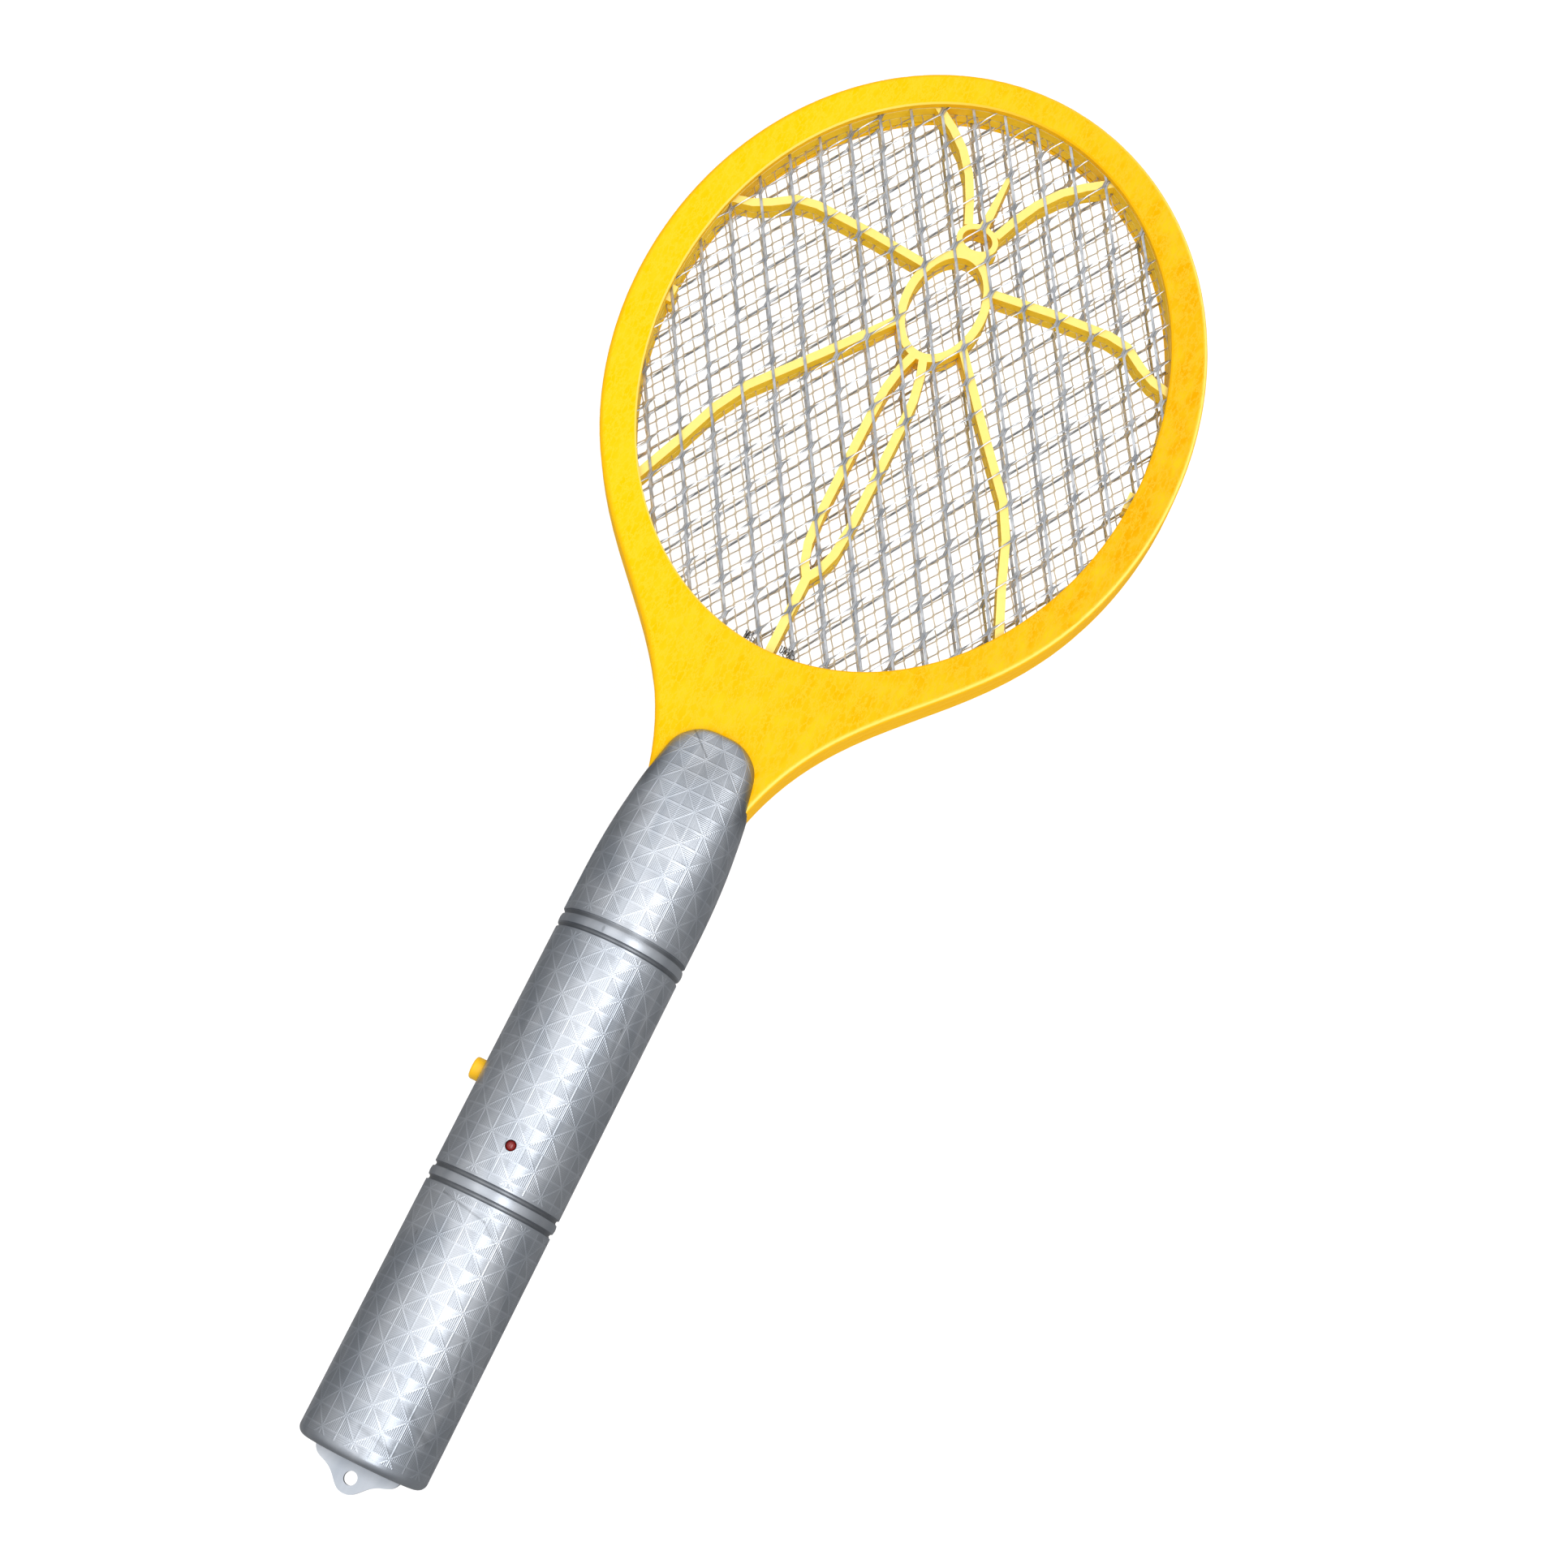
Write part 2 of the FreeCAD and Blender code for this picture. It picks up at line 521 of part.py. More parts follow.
def battery_door(wall):
    """Back half of the tail, with grooves for the rails and a finger grip."""
    wall = mirrored(wall).common(box(-40, 40, 0, DOOR_Y1, -60, -RUN))
    for side in SIDES:
        for x0, x1, z1 in ((RAIL_X1, TOE_X + RUN, TOE_Z + RUN), (RAIL_X0, RAIL_X1 + 2 * RUN, 1)):
            groove = side_box(side, x0 - RUN, x1, RAIL_Y0 - 2 * RUN, DOOR_Y1 + 1,
                              RAIL_Z0 - RUN, z1)
            wall = wall.cut(groove)
    tongue = rod(R_OUT - SHELL - 0.3, 8, V(0, 75, 0), ALONG_Y)
    tongue = tongue.cut(rod(R_OUT - SHELL - 1.6, 10, V(0, 74, 0), ALONG_Y))
    tongue = tongue.common(box(-6, 6, 74, 83.5, -30, -8))
    root = box(-6, 6, 75, 78.5, -R_OUT + 0.8, -15.0)
    grip = [box(-6.5, 6.5, y, y + 0.9, -R_OUT - 1, -R_OUT + 0.8) for y in range(62, 74, 2)]
    return joined([wall, tongue, root]).cut(group(grip))


def pan_screw(x, y, z_head, head_r, head_t, shank_r, shank_l):
    """Screw driven in the +Z direction, with a cross recess in its head."""
    head = rod(head_r, head_t, V(x, y, z_head))
    shank = rod(shank_r, shank_l, V(x, y, z_head + head_t - 0.1))
    cross = [box(-0.35, 0.35, -head_r * 0.6, head_r * 0.6, -0.1, 0.8),
             box(-head_r * 0.6, head_r * 0.6, -0.35, 0.35, -0.1, 0.8)]
    recess = joined(cross)
    recess.translate(V(x, y, z_head))
    return head.fuse(shank).cut(recess).removeSplitter()


def shell_screws(points, length):
    """Screws that close the handle from behind, their heads in the deep recesses."""
    head_z = SCREW_RECESS_Z - TOUCH - SCREW_HEAD_T
    return group([pan_screw(x, y, head_z, SCREW_HEAD_R, SCREW_HEAD_T, SCREW_SHANK_R, length)
                  for x, y in points])


# ------------------------------------------------------------ battery and door
def cell(side):
    """AA cell: can, button end with its shoulder, and a flat end."""
    if side < 0:
        can = rod(CELL_R, CELL_L, V(-CELL_X, LEFT_CELL_Y, 0), ALONG_Y)
        nub = rod(NUB_R, NUB_L, V(-CELL_X, LEFT_CELL_Y + CELL_L, 0), ALONG_Y)
    else:
        can = rod(CELL_R, CELL_L, V(CELL_X, RIGHT_CELL_Y, 0), ALONG_Y)
        nub = rod(NUB_R, NUB_L, V(CELL_X, RIGHT_CELL_Y - NUB_L, 0), ALONG_Y)
    rims = [e for e in can.Edges if e.Length > 2 * math.pi * CELL_R - 1]
    return can.makeFillet(0.6, rims).fuse(nub).removeSplitter()


def bridge_contact():
    plate = box(-13.2, 13.2, BRIDGE_Y - PLATE_T, BRIDGE_Y, -4.2, 4.2)
    return plate.fuse(rod(2.2, 1.1, V(CELL_X, BRIDGE_Y - 0.1, 0), ALONG_Y)).removeSplitter()


def end_contact(side):
    plate = box(side * CELL_X - 4.3, side * CELL_X + 4.3, CONTACT_Y, CONTACT_Y + PLATE_T, -4.2, 4.2)
    lug = box(side * CELL_X - 1.0, side * CELL_X + 1.0, CONTACT_Y, BULKHEAD_Y + 4.5, -0.2, 0.2)
    return plate.fuse(lug).removeSplitter()


def coil_spring(x, y0, y1):
    """Battery spring between two planes, four open turns of 0.7 mm wire."""
    wire_r = 0.35
    height = y1 - y0 - 2 * wire_r - 0.1
    helix = Part.makeHelix(height / 4, height, 3.4)
    profile = Part.Wire([Part.Circle(V(3.4, 0, 0), ALONG_Y, wire_r).toShape()])
    spring = Part.Wire(helix.Edges).makePipeShell([profile], True, True)
    spring.rotate(ORIGIN, ALONG_X, -90)
    spring.translate(V(x, y0 + wire_r + 0.05, 0))
    return spring


def contact_springs():
    left = coil_spring(-CELL_X, BRIDGE_Y, LEFT_CELL_Y)
    right = coil_spring(CELL_X, RIGHT_CELL_Y + CELL_L, CONTACT_Y)
    return group([left, right])


# ---------------------------------------------------- circuit board and parts
def circuit_board():
    board = box(-BOARD_X, BOARD_X, BOARD_Y0, BOARD_Y1, BOARD_Z0, BOARD_TOP)
    corners = [e for e in board.Edges if abs(e.BoundBox.ZLength - BOARD_T) < 0.01]
    board = board.makeFillet(1.0, corners)
    notch = box(-BOARD_X - 1, SWITCH_X, BUTTON_Y - 5.2, BUTTON_Y + 5.2, BOARD_Z0 - 1, BOARD_TOP + 1)
    holes = [rod(1.3, 5, V(x, y, BOARD_Z0 - 1)) for x, y in BOARD_SCREWS]
    return board.cut(group(holes + [notch]))


def board_screws():
    screws = []
    for x, y in BOARD_SCREWS:
        screw = pan_screw(0, 0, 0, 2.0, 1.3, 0.95, 6.5)
        screw.rotate(ORIGIN, ALONG_X, 180)
        screw.translate(V(x, y, BOARD_TOP + 1.35))
        screws.append(screw)
    return group(screws)


def indicator_led():
    """Round lamp in the front shell, on long legs from the board."""
    base = rod(LED_R, 4.0, V(0, LED_Y, 14.2))
    dome = Part.makeSphere(LED_R, V(0, LED_Y, 18.0))
    legs = [rod(0.25, 14.2 - BOARD_TOP + 0.2, V(s * 0.9, LED_Y, BOARD_TOP + 0.05)) for s in SIDES]
    flange = rod(1.75, 0.8, V(0, LED_Y, 13.7))
    return joined([base, dome, flange] + legs)


def tact_switch():
    """Right-angle push switch on the board's edge, with a bore for its plunger."""
    body = box(SWITCH_X, -10.2, BUTTON_Y - 3.1, BUTTON_Y + 3.1, BOARD_TOP + TOUCH, 2.9)
    frame = box(-13.0, -11.0, BUTTON_Y - 3.6, BUTTON_Y + 3.6, BOARD_TOP + TOUCH, 1.4)
    bore = rod(PLUNGER_R + RUN, 2.9, V(-14, BUTTON_Y, 0), ALONG_X)
    return body.fuse(frame).cut(bore).removeSplitter()


def switch_plunger():
    return rod(PLUNGER_R, 2.6, V(-15.0, BUTTON_Y, 0), ALONG_X)


def push_button():
    """Round cap with a domed end, and a flange inside the shell."""
    cap = rod(BUTTON_R, BUTTON_OUT + FLANGE_X + 0.9, V(-BUTTON_OUT, BUTTON_Y, 0), ALONG_X)
    tip = [e for e in cap.Edges if e.BoundBox.XMax < -BUTTON_OUT + 0.01]
    cap = cap.makeFillet(0.9, tip)
    flange = rod(FLANGE_R, 0.9, V(FLANGE_X, BUTTON_Y, 0), ALONG_X)
    return joined([cap, flange])


def transformer_core():
    """Two E-shaped ferrite halves round the winding."""
    outer = box(-7.0, 7.0, 121.0, 134.0, BOARD_TOP + 2.0, BOARD_TOP + 7.0)
    windows = [box(-4.6, -2.2, 123.0, 132.0, -10, 10), box(2.2, 4.6, 123.0, 132.0, -10, 10)]
    return outer.cut(group(windows))


def transformer_coil():
    """Bobbin and winding on the core's middle leg."""
    y0, y1 = 123.1, 131.9
    z0, z1 = BOARD_TOP + TOUCH, BOARD_TOP + 9.0
    winding = box(-4.5, 4.5, y0, y1, z0 + 0.4, z1)
    rounded = winding.makeFillet(1.2, [e for e in winding.Edges if e.BoundBox.YLength > 5])
    foot = box(-4.5, 4.5, y0, y1, z0, z0 + 1.2)
    leg = box(-2.25, 2.25, y0 - 1, y1 + 1, BOARD_TOP + 1.95, BOARD_TOP + 7.05)
    return joined([rounded, foot]).cut(leg)


def film_capacitor(x0, x1, y0, y1, height):
    body = box(x0, x1, y0, y1, BOARD_TOP + 0.8, BOARD_TOP + 0.8 + height)
    body = body.makeFillet(min(x1 - x0, y1 - y0) * 0.28, body.Edges)
    legs = []
    for end in (0.2, 0.8):
        x, y = (x0 + x1) / 2, y0 + (y1 - y0) * end
        if x1 - x0 > y1 - y0:
            x, y = x0 + (x1 - x0) * end, (y0 + y1) / 2
        legs.append(rod(0.35, 3.2, V(x, y, BOARD_TOP + TOUCH)))
    return joined([body] + legs)


def storage_capacitor():
    return film_capacitor(-8.5, 8.5, 148.5, 156.5, 11.0)


def multiplier_capacitors():
    return group([film_capacitor(-13.2, -9.2, 121.0, 131.0, 7.5),
                  film_capacitor(-13.2, -9.2, 134.0, 144.0, 7.5)])


def axial_part(x, y, length, radius):
    """Component lying on the board between two bent legs."""
    z = BOARD_TOP + radius + 0.3
    body = rod(radius, length, V(x, y, z), ALONG_Y)
    legs = []
    for start, away in ((y + 0.2, -1), (y + length - 0.2, 1)):
        corner = (x, start + away * LEG_REACH, z)
        legs.append(lead([(x, start, z), corner, (x, corner[1], BOARD_TOP + TOUCH)], LEG_R))
    return joined([body] + legs)


def rectifier_diodes():
    return group([axial_part(x, y, 4.2, 1.1) for x, y in
                  ((9.6, 122.5), (12.8, 122.5), (9.6, 133.5), (12.8, 133.5))])


def resistors():
    return group([axial_part(x, y, 5.5, 0.95) for x, y in ((-4.5, 104.0), (-1.0, 104.0), (2.5, 138.5))])


def oscillator_transistor():
    can = rod(2.3, 4.6, V(8.5, 107.5, BOARD_TOP + 2.6))
    flat = box(5, 12, 109.0, 112, -10, 10)
    legs = [rod(0.25, 3.2, V(8.5 + dx, 107.5, BOARD_TOP + TOUCH)) for dx in (-1.27, 0, 1.27)]
    return joined([can.cut(flat)] + legs)


# --------------------------------------------------------------------- leads
def lead(points, radius):
    """Round lead along straight runs joined by the largest arcs they allow."""
    route = [V(*p) for p in points]
    edges = []
    start = route[0]
    for before, corner, after in zip(route, route[1:], route[2:]):
        back = (before - corner).normalize()
        ahead = (after - corner).normalize()
        turn = math.pi - back.getAngle(ahead)
        reach = 0.45 * min((before - corner).Length, (after - corner).Length)
        bend = reach / math.tan(turn / 2)
        inward = (back + ahead).normalize()
        middle = corner + inward * (bend / math.cos(turn / 2) - bend)
        enter, leave = corner + back * reach, corner + ahead * reach
        edges.append(Part.LineSegment(start, enter).toShape())
        edges.append(Part.Arc(enter, middle, leave).toShape())
        start = leave
    edges.append(Part.LineSegment(start, route[-1]).toShape())
    path = Part.Wire(edges)
    profile = Part.Wire([Part.Circle(route[0], route[1] - route[0], radius).toShape()])
    return path.makePipeShell([profile], True, False)


BATTERY_LEAD_R = 0.65
HV_LEAD_R = 0.75
LOW_LEAD_Z = BOARD_TOP + TOUCH + BATTERY_LEAD_R     # a lead that lies on the board
HV_LEAD_Z = BOARD_TOP + TOUCH + HV_LEAD_R
LEAD_POSITIVE = [(-7.45, 70.3, 1.2), (-7.45, 75.0, 2.4), (-6.2, 82.0, 1.5), (-4.6, 88.0, -0.8),
                 (-3.6, 93.5, LOW_LEAD_Z + 0.1), (-3.4, 98.5, LOW_LEAD_Z)]
LEAD_NEGATIVE = [(7.45, 70.3, 1.2), (7.45, 75.5, 3.0), (5.8, 83.0, 2.6), (4.6, 89.0, -0.4),
                 (4.4, 94.5, LOW_LEAD_Z + 0.1), (4.5, 99.5, LOW_LEAD_Z)]
HV_FRONT = [(-5.4, 157.0, HV_LEAD_Z), (-5.3, 161.0, HV_LEAD_Z), (-3.6, 175.0, 1.2),
            (-2.6, 190.0, 2.2), (-3.0, 206.0, 2.4), (-4.4, 222.0, 2.8), (-6.6, 238.0, 3.0),
            (-7.0, 250.2, 3.6)]
HV_CENTRE = [(0.2, 157.0, HV_LEAD_Z), (0.3, 161.0, HV_LEAD_Z), (0.2, 176.0, -0.8),
             (0.6, 192.0, 0.0), (0.0, 208.0, 0.2), (0.8, 224.0, 0.0), (0.2, 238.0, 0.2),
             (0.0, 250.2, 0.0)]
HV_BACK = [(5.4, 157.0, HV_LEAD_Z), (5.3, 161.0, HV_LEAD_Z), (3.6, 176.0, -2.8),
           (3.0, 192.0, -2.4), (3.4, 208.0, -2.6), (4.8, 224.0, -2.8), (6.6, 238.0, -3.2),
           (7.0, 250.2, -3.6)]


def solder_joints():
    """Solder that joins the leads to the contact lugs, the board and the grids."""
    spots = [V(-7.45, 69.6, 0.95), V(7.45, 69.6, 0.95)]
    joints = [Part.makeSphere(0.7, p) for p in spots]
    edge_y = HEAD_Y - GRID_B
    for x, z in ((-7.0, 4.3), (0.0, 0.0), (7.0, -4.3)):
        joints.append(rod(1.0, 2.0, V(x, edge_y - 2.05, z * 0.92), ALONG_Y))
    return group(joints)


def grid_ties():
    """Bare loops of lead wire twisted round the front grid's strands."""
    loops = []
    for x in (-7.0, 4.6):
        for dx, radius in ((-1.3, 1.0), (1.3, 0.9)):
            loops.append(Part.makeTorus(radius, 0.22, V(x + dx, 258.6, GRID_Z1 + 0.3), ALONG_Z))
    return group(loops)


# --------------------------------------------------------------------- output
def build_nodes():
    wall = half_shell()
    rib_frame = front_rib_frame()
    coarse = expanded_grid(COARSE_X, COARSE_Y, COARSE_STRAND, GRID_Z0, GRID_Z1)
    return {
        "front_rim_cover": rim_cover(True),
        "back_rim_cover": rim_cover(False),
        "rim_screws": rim_screws(),
        "front_grid": coarse,
        "back_grid": mirrored(coarse),
        "centre_grid": expanded_grid(FINE_X, FINE_Y, FINE_STRAND, -CENTRE_T / 2, CENTRE_T / 2),
        "front_rib_frame": rib_frame,
        "back_rib_frame": mirrored(rib_frame),
        "grid_ties": grid_ties(),
        "handle_front_shell": handle_front_shell(wall),
        "handle_back_shell": handle_back_shell(wall),
        "battery_door": battery_door(wall),
        "handle_screws": shell_screws(HANDLE_SCREWS, 18.0),
        "neck_screws": shell_screws(NECK_SCREWS, 21.0),
        "cell_left": cell(-1),
        "cell_right": cell(1),
        "bridge_contact": bridge_contact(),
        "positive_contact": end_contact(-1),
        "negative_contact": end_contact(1),
        "contact_springs": contact_springs(),
        "circuit_board": circuit_board(),
        "board_screws": board_screws(),
        "indicator_led": indicator_led(),
        "tact_switch": tact_switch(),
        "switch_plunger": switch_plunger(),
        "push_button": push_button(),
        "transformer_core": transformer_core(),
        "transformer_coil": transformer_coil(),
        "storage_capacitor": storage_capacitor(),
        "multiplier_capacitors": multiplier_capacitors(),
        "rectifier_diodes": rectifier_diodes(),
        "resistors": resistors(),
        "oscillator_transistor": oscillator_transistor(),
        "battery_lead_positive": lead(LEAD_POSITIVE, BATTERY_LEAD_R),
        "battery_lead_negative": lead(LEAD_NEGATIVE, BATTERY_LEAD_R),
        "hv_lead_front": lead(HV_FRONT, HV_LEAD_R),
        "hv_lead_centre": lead(HV_CENTRE, HV_LEAD_R),
        "hv_lead_back": lead(HV_BACK, HV_LEAD_R),
        "solder_joints": solder_joints(),
    }


def write_nodes(nodes):
    os.makedirs("parts", exist_ok=True)
    for name, shape in nodes.items():
        shape.exportStep("parts/" + name + ".step")
        size = shape.BoundBox
        print(name, "solids", len(shape.Solids), "valid", shape.isValid(),
              "volume", round(shape.Volume / 1000, 2), "cm3", "x", round(size.XMin, 1),
              round(size.XMax, 1), "y", round(size.YMin, 1), round(size.YMax, 1),
              "z", round(size.ZMin, 1), round(size.ZMax, 1))


write_nodes(build_nodes())
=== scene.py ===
import math
from collections import namedtuple

import bpy
from mathutils import Matrix, Vector


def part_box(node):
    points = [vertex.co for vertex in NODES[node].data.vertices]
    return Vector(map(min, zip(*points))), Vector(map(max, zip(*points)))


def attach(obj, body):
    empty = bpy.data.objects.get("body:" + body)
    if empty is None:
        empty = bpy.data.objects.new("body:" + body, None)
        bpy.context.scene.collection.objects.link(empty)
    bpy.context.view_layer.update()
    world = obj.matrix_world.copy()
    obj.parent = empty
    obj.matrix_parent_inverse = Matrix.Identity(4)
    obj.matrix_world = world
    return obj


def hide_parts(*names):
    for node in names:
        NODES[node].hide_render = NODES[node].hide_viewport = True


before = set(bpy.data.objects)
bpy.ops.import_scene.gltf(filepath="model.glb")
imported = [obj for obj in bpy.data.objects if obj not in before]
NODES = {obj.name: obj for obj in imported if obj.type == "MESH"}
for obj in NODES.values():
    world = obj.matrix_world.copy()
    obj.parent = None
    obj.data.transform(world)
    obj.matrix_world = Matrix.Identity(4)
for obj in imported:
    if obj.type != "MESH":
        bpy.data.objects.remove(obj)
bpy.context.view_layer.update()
MM = 0.001

# The racket lies along +Y, face up, with its tail at Y = 0. Its shapes and patterns are given in
# mm and turned into metres by MM. The camera, the lights and the floor are given in metres.
GRID_LOW, GRID_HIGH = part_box("centre_grid")
GRID_CENTRE = GRID_LOW.lerp(GRID_HIGH, 0.5)
GRID_HALF = (GRID_HIGH - GRID_LOW) / 2
CORNERS = ((-1, -1), (1, -1), (1, 1), (-1, 1))


# ------------------------------------------------------------ node graph tools
class Graph:
    """A material's node graph, with short calls for maths on its sockets."""

    def __init__(self, name):
        self.material = bpy.data.materials.new(name)
        self.material.use_nodes = True
        self.tree = self.material.node_tree
        self.shader = self.tree.nodes["Principled BSDF"]

    def add(self, kind, **settings):
        node = self.tree.nodes.new(kind)
        for key, value in settings.items():
            setattr(node, key, value)
        return node

    def link(self, source, target):
        if isinstance(source, (int, float)):
            target.default_value = source
        elif isinstance(source, tuple):
            target.default_value = source + (1.0,)
        else:
            self.tree.links.new(source, target)

    def math(self, operation, *values):
        node = self.add("ShaderNodeMath", operation=operation)
        for value, socket in zip(values, node.inputs):
            self.link(value, socket)
        return node.outputs[0]

    def mix(self, share, first, second, blend="MIX"):
        """Mixes two colours, which are sockets 6 and 7 of the node."""
        node = self.add("ShaderNodeMix", data_type="RGBA", blend_type=blend)
        self.link(share, node.inputs[0])
        self.link(first, node.inputs[6])
        self.link(second, node.inputs[7])
        return node.outputs[2]

    def distance(self, value, centre):
        return self.math("ABSOLUTE", self.math("SUBTRACT", value, centre))

    def ramp(self, value, low, high, out_low=0.0, out_high=1.0):
        node = self.add("ShaderNodeMapRange", clamp=True)
        for setting, socket in zip((value, low, high, out_low, out_high), node.inputs):
            self.link(setting, socket)
        return node.outputs[0]

    def place(self):
        """Position on the part at rest, in millimetres."""
        coords = self.add("ShaderNodeTexCoord")
        scale = self.add("ShaderNodeVectorMath", operation="SCALE")
        self.link(coords.outputs["Object"], scale.inputs[0])
        scale.inputs["Scale"].default_value = 1 / MM
        return scale.outputs[0]

    def stretched(self, vector, x, y, z):
        node = self.add("ShaderNodeVectorMath", operation="MULTIPLY")
        self.link(vector, node.inputs[0])
        node.inputs[1].default_value = (x, y, z)
        return node.outputs[0]

    def split(self, vector):
        node = self.add("ShaderNodeSeparateXYZ")
        self.link(vector, node.inputs[0])
        return node.outputs

    def noise(self, vector, scale, detail=3.0, distortion=0.0):
        node = self.add("ShaderNodeTexNoise")
        self.link(vector, node.inputs["Vector"])
        node.inputs["Scale"].default_value = scale
        node.inputs["Detail"].default_value = detail
        node.inputs["Distortion"].default_value = distortion
        return node.outputs[0]

    def cells(self, vector, scale, feature="F1"):
        node = self.add("ShaderNodeTexVoronoi", feature=feature)
        self.link(vector, node.inputs["Vector"])
        node.inputs["Scale"].default_value = scale
        return node.outputs

    def bump(self, height, depth, strength, below=None):
        """Relief of a depth in mm, over the normals of the relief below it."""
        node = self.add("ShaderNodeBump")
        node.inputs["Strength"].default_value = strength
        node.inputs["Distance"].default_value = depth * MM
        self.link(height, node.inputs["Height"])
        if below is not None:
            self.link(below, node.inputs["Normal"])
        return node.outputs[0]

    def normal(self):
        """X, Y and Z of the surface's normal."""
        geometry = self.add("ShaderNodeNewGeometry")
        return self.split(geometry.outputs["Normal"])

    def finish(self, colour=None, roughness=None, normal=None, **settings):
        for key, value in settings.items():
            self.shader.inputs[key.replace("_", " ")].default_value = value
        if colour is not None:
            self.link(colour, self.shader.inputs["Base Color"])
        if roughness is not None:
            self.link(roughness, self.shader.inputs["Roughness"])
        if normal is not None:
            self.link(normal, self.shader.inputs["Normal"])
        return self.material


# ------------------------------------------------------------------- materials
def yellow_cover(name):
    """Yellow moulded plastic with a leathery grain of long cells on its faces, with painted shade
    and a painted edge highlight.
    """
    g = Graph(name)
    at = g.place()
    x = g.split(at)[0]
    normal = g.normal()
    upright = g.math("ABSOLUTE", normal[2])
    face = g.ramp(upright, 0.90, 0.985)
    cloud = g.ramp(g.noise(g.stretched(at, 0.25, 0.12, 0.2), 1.0, 2.0), 0.35, 0.7)
    bent = g.add("ShaderNodeVectorMath", operation="ADD")
    wander = g.add("ShaderNodeTexNoise")
    g.link(g.stretched(at, 0.5, 0.2, 0.2), wander.inputs["Vector"])
    g.link(g.stretched(at, 0.64, 0.27, 0.2), bent.inputs[0])
    g.link(wander.outputs[1], bent.inputs[1])
    crease = g.ramp(g.cells(bent.outputs[0], 1.0, "DISTANCE_TO_EDGE")[0], 0.02, 0.12)
    # Painted shade: the faces darker and more orange towards the right.
    base = g.mix(g.ramp(x, -60.0, 85.0), (0.93, 0.555, 0.0), (0.93, 0.360, 0.0))
    pale = g.mix(0.5, base, (0.93, 0.640, 0.022))
    plump = g.mix(cloud, base, pale)
    faces = g.mix(crease, g.mix(0.22, base, (0.95, 0.80, 0.10)), plump)
    # Painted shade: the walls a more orange copy of the yellow than the faces.
    sides = g.mix(g.noise(at, 0.08), (0.97, 0.48, 0.004), (0.98, 0.56, 0.008))
    # Painted highlight: a paler line on the rounded edges, strongest where they face right.
    painted_edge_highlight = g.math("MULTIPLY", g.ramp(upright, 0.45, 0.75), g.ramp(normal[0], -0.1, 0.5))
    edges = g.mix(painted_edge_highlight, sides, (0.99, 0.78, 0.16))
    fine = g.noise(at, 1.6, 4.0)
    height = g.math("MULTIPLY", g.math("ADD", crease, g.math("MULTIPLY", fine, 0.1)), face)
    return g.finish(g.mix(face, edges, faces), g.ramp(fine, 0.3, 0.7, 0.40, 0.50),
                    g.bump(height, 0.04, 0.35), Specular_IOR_Level=0.02)


def rib_plastic(name):
    """Paler yellow plastic of the ribs, painted lighter on its faces and darker on its sides, as
    light and shade.
    """
    g = Graph(name)
    at = g.place()
    face = g.ramp(g.math("ABSOLUTE", g.normal()[2]), 0.35, 0.85)
    mottle = g.noise(g.stretched(at, 0.5, 0.5, 0.5), 1.0, 3.0)
    # Painted light and shade: darker upright sides and paler faces of one plastic.
    shaded_walls = g.mix(mottle, (0.88, 0.52, 0.002), (0.97, 0.62, 0.008))
    lit_tops = g.mix(mottle, (0.96, 0.73, 0.17), (0.97, 0.78, 0.24))
    height = g.noise(at, 1.8, 3.0)
    return g.finish(g.mix(face, shaded_walls, lit_tops), g.ramp(mottle, 0.3, 0.7, 0.38, 0.5),
                    g.bump(height, 0.03, 0.4), Specular_IOR_Level=0.15)


GRIP_RADIUS = 19.0
SQUARE_ROUND, SQUARE_ALONG = 5.35, 5.2
START_ROUND, START_ALONG = 0.28, 0.20  # where the squares start, as shares of a square
LATTICE_HALF = (0.012, 0.065)  # half width of the lattice's lines, as shares of a square
LINES_PER_SQUARE = 10.0
SLANT = 0.7  # turns a height over the diagonal into a distance from it


def hatch(g, x, y, z):
    """Squares split into two triangles of fine lines; returns (relief, lattice, triangle_sheen),
    the last a painted sheen for each triangle.
    """
    around = g.math("MULTIPLY", g.math("ARCTAN2", x, z), GRIP_RADIUS / SQUARE_ROUND)
    u = g.math("ADD", around, START_ROUND)
    v = g.math("ADD", g.math("DIVIDE", y, SQUARE_ALONG), START_ALONG)
    column, row = g.math("FLOOR", u), g.math("FLOOR", v)
    fu, fv = g.math("SUBTRACT", u, column), g.math("SUBTRACT", v, row)
    odd = g.math("FLOORED_MODULO", g.math("ADD", column, row), 2.0)
    turned = g.math("SUBTRACT", 1.0, g.math("MULTIPLY", fu, 2.0))
    flip = g.math("ADD", g.math("MULTIPLY", odd, turned), fu)
    upper = g.math("GREATER_THAN", fv, flip)
    across, along = (g.math("SINE", g.math("MULTIPLY", share, 2 * math.pi * LINES_PER_SQUARE))
                     for share in (fu, fv))
    lines = g.math("ADD", g.math("MULTIPLY", upper, along),
                   g.math("MULTIPLY", g.math("SUBTRACT", 1.0, upper), across))
    edges = [g.math("MINIMUM", share, g.math("SUBTRACT", 1.0, share)) for share in (fu, fv)]
    diagonal = g.math("MULTIPLY", g.distance(fv, flip), SLANT)
    nearest = g.math("MINIMUM", g.math("MINIMUM", *edges), diagonal)
    lattice = g.ramp(nearest, *LATTICE_HALF, 1.0, 0.0)
    relief = g.math("ADD", g.math("MULTIPLY", lines, 0.5), g.math("MULTIPLY", lattice, 1.3))
    plain = g.math("SUBTRACT", 1.0, lattice)
    # Painted sheen: upper triangles lighter than lower ones and every other square darker, standing
    # in for reflections of the fine lines.
    triangle_sheen = g.math("MULTIPLY", plain, g.math("SUBTRACT", upper, g.math("MULTIPLY", odd, 0.6)))
    return relief, lattice, triangle_sheen


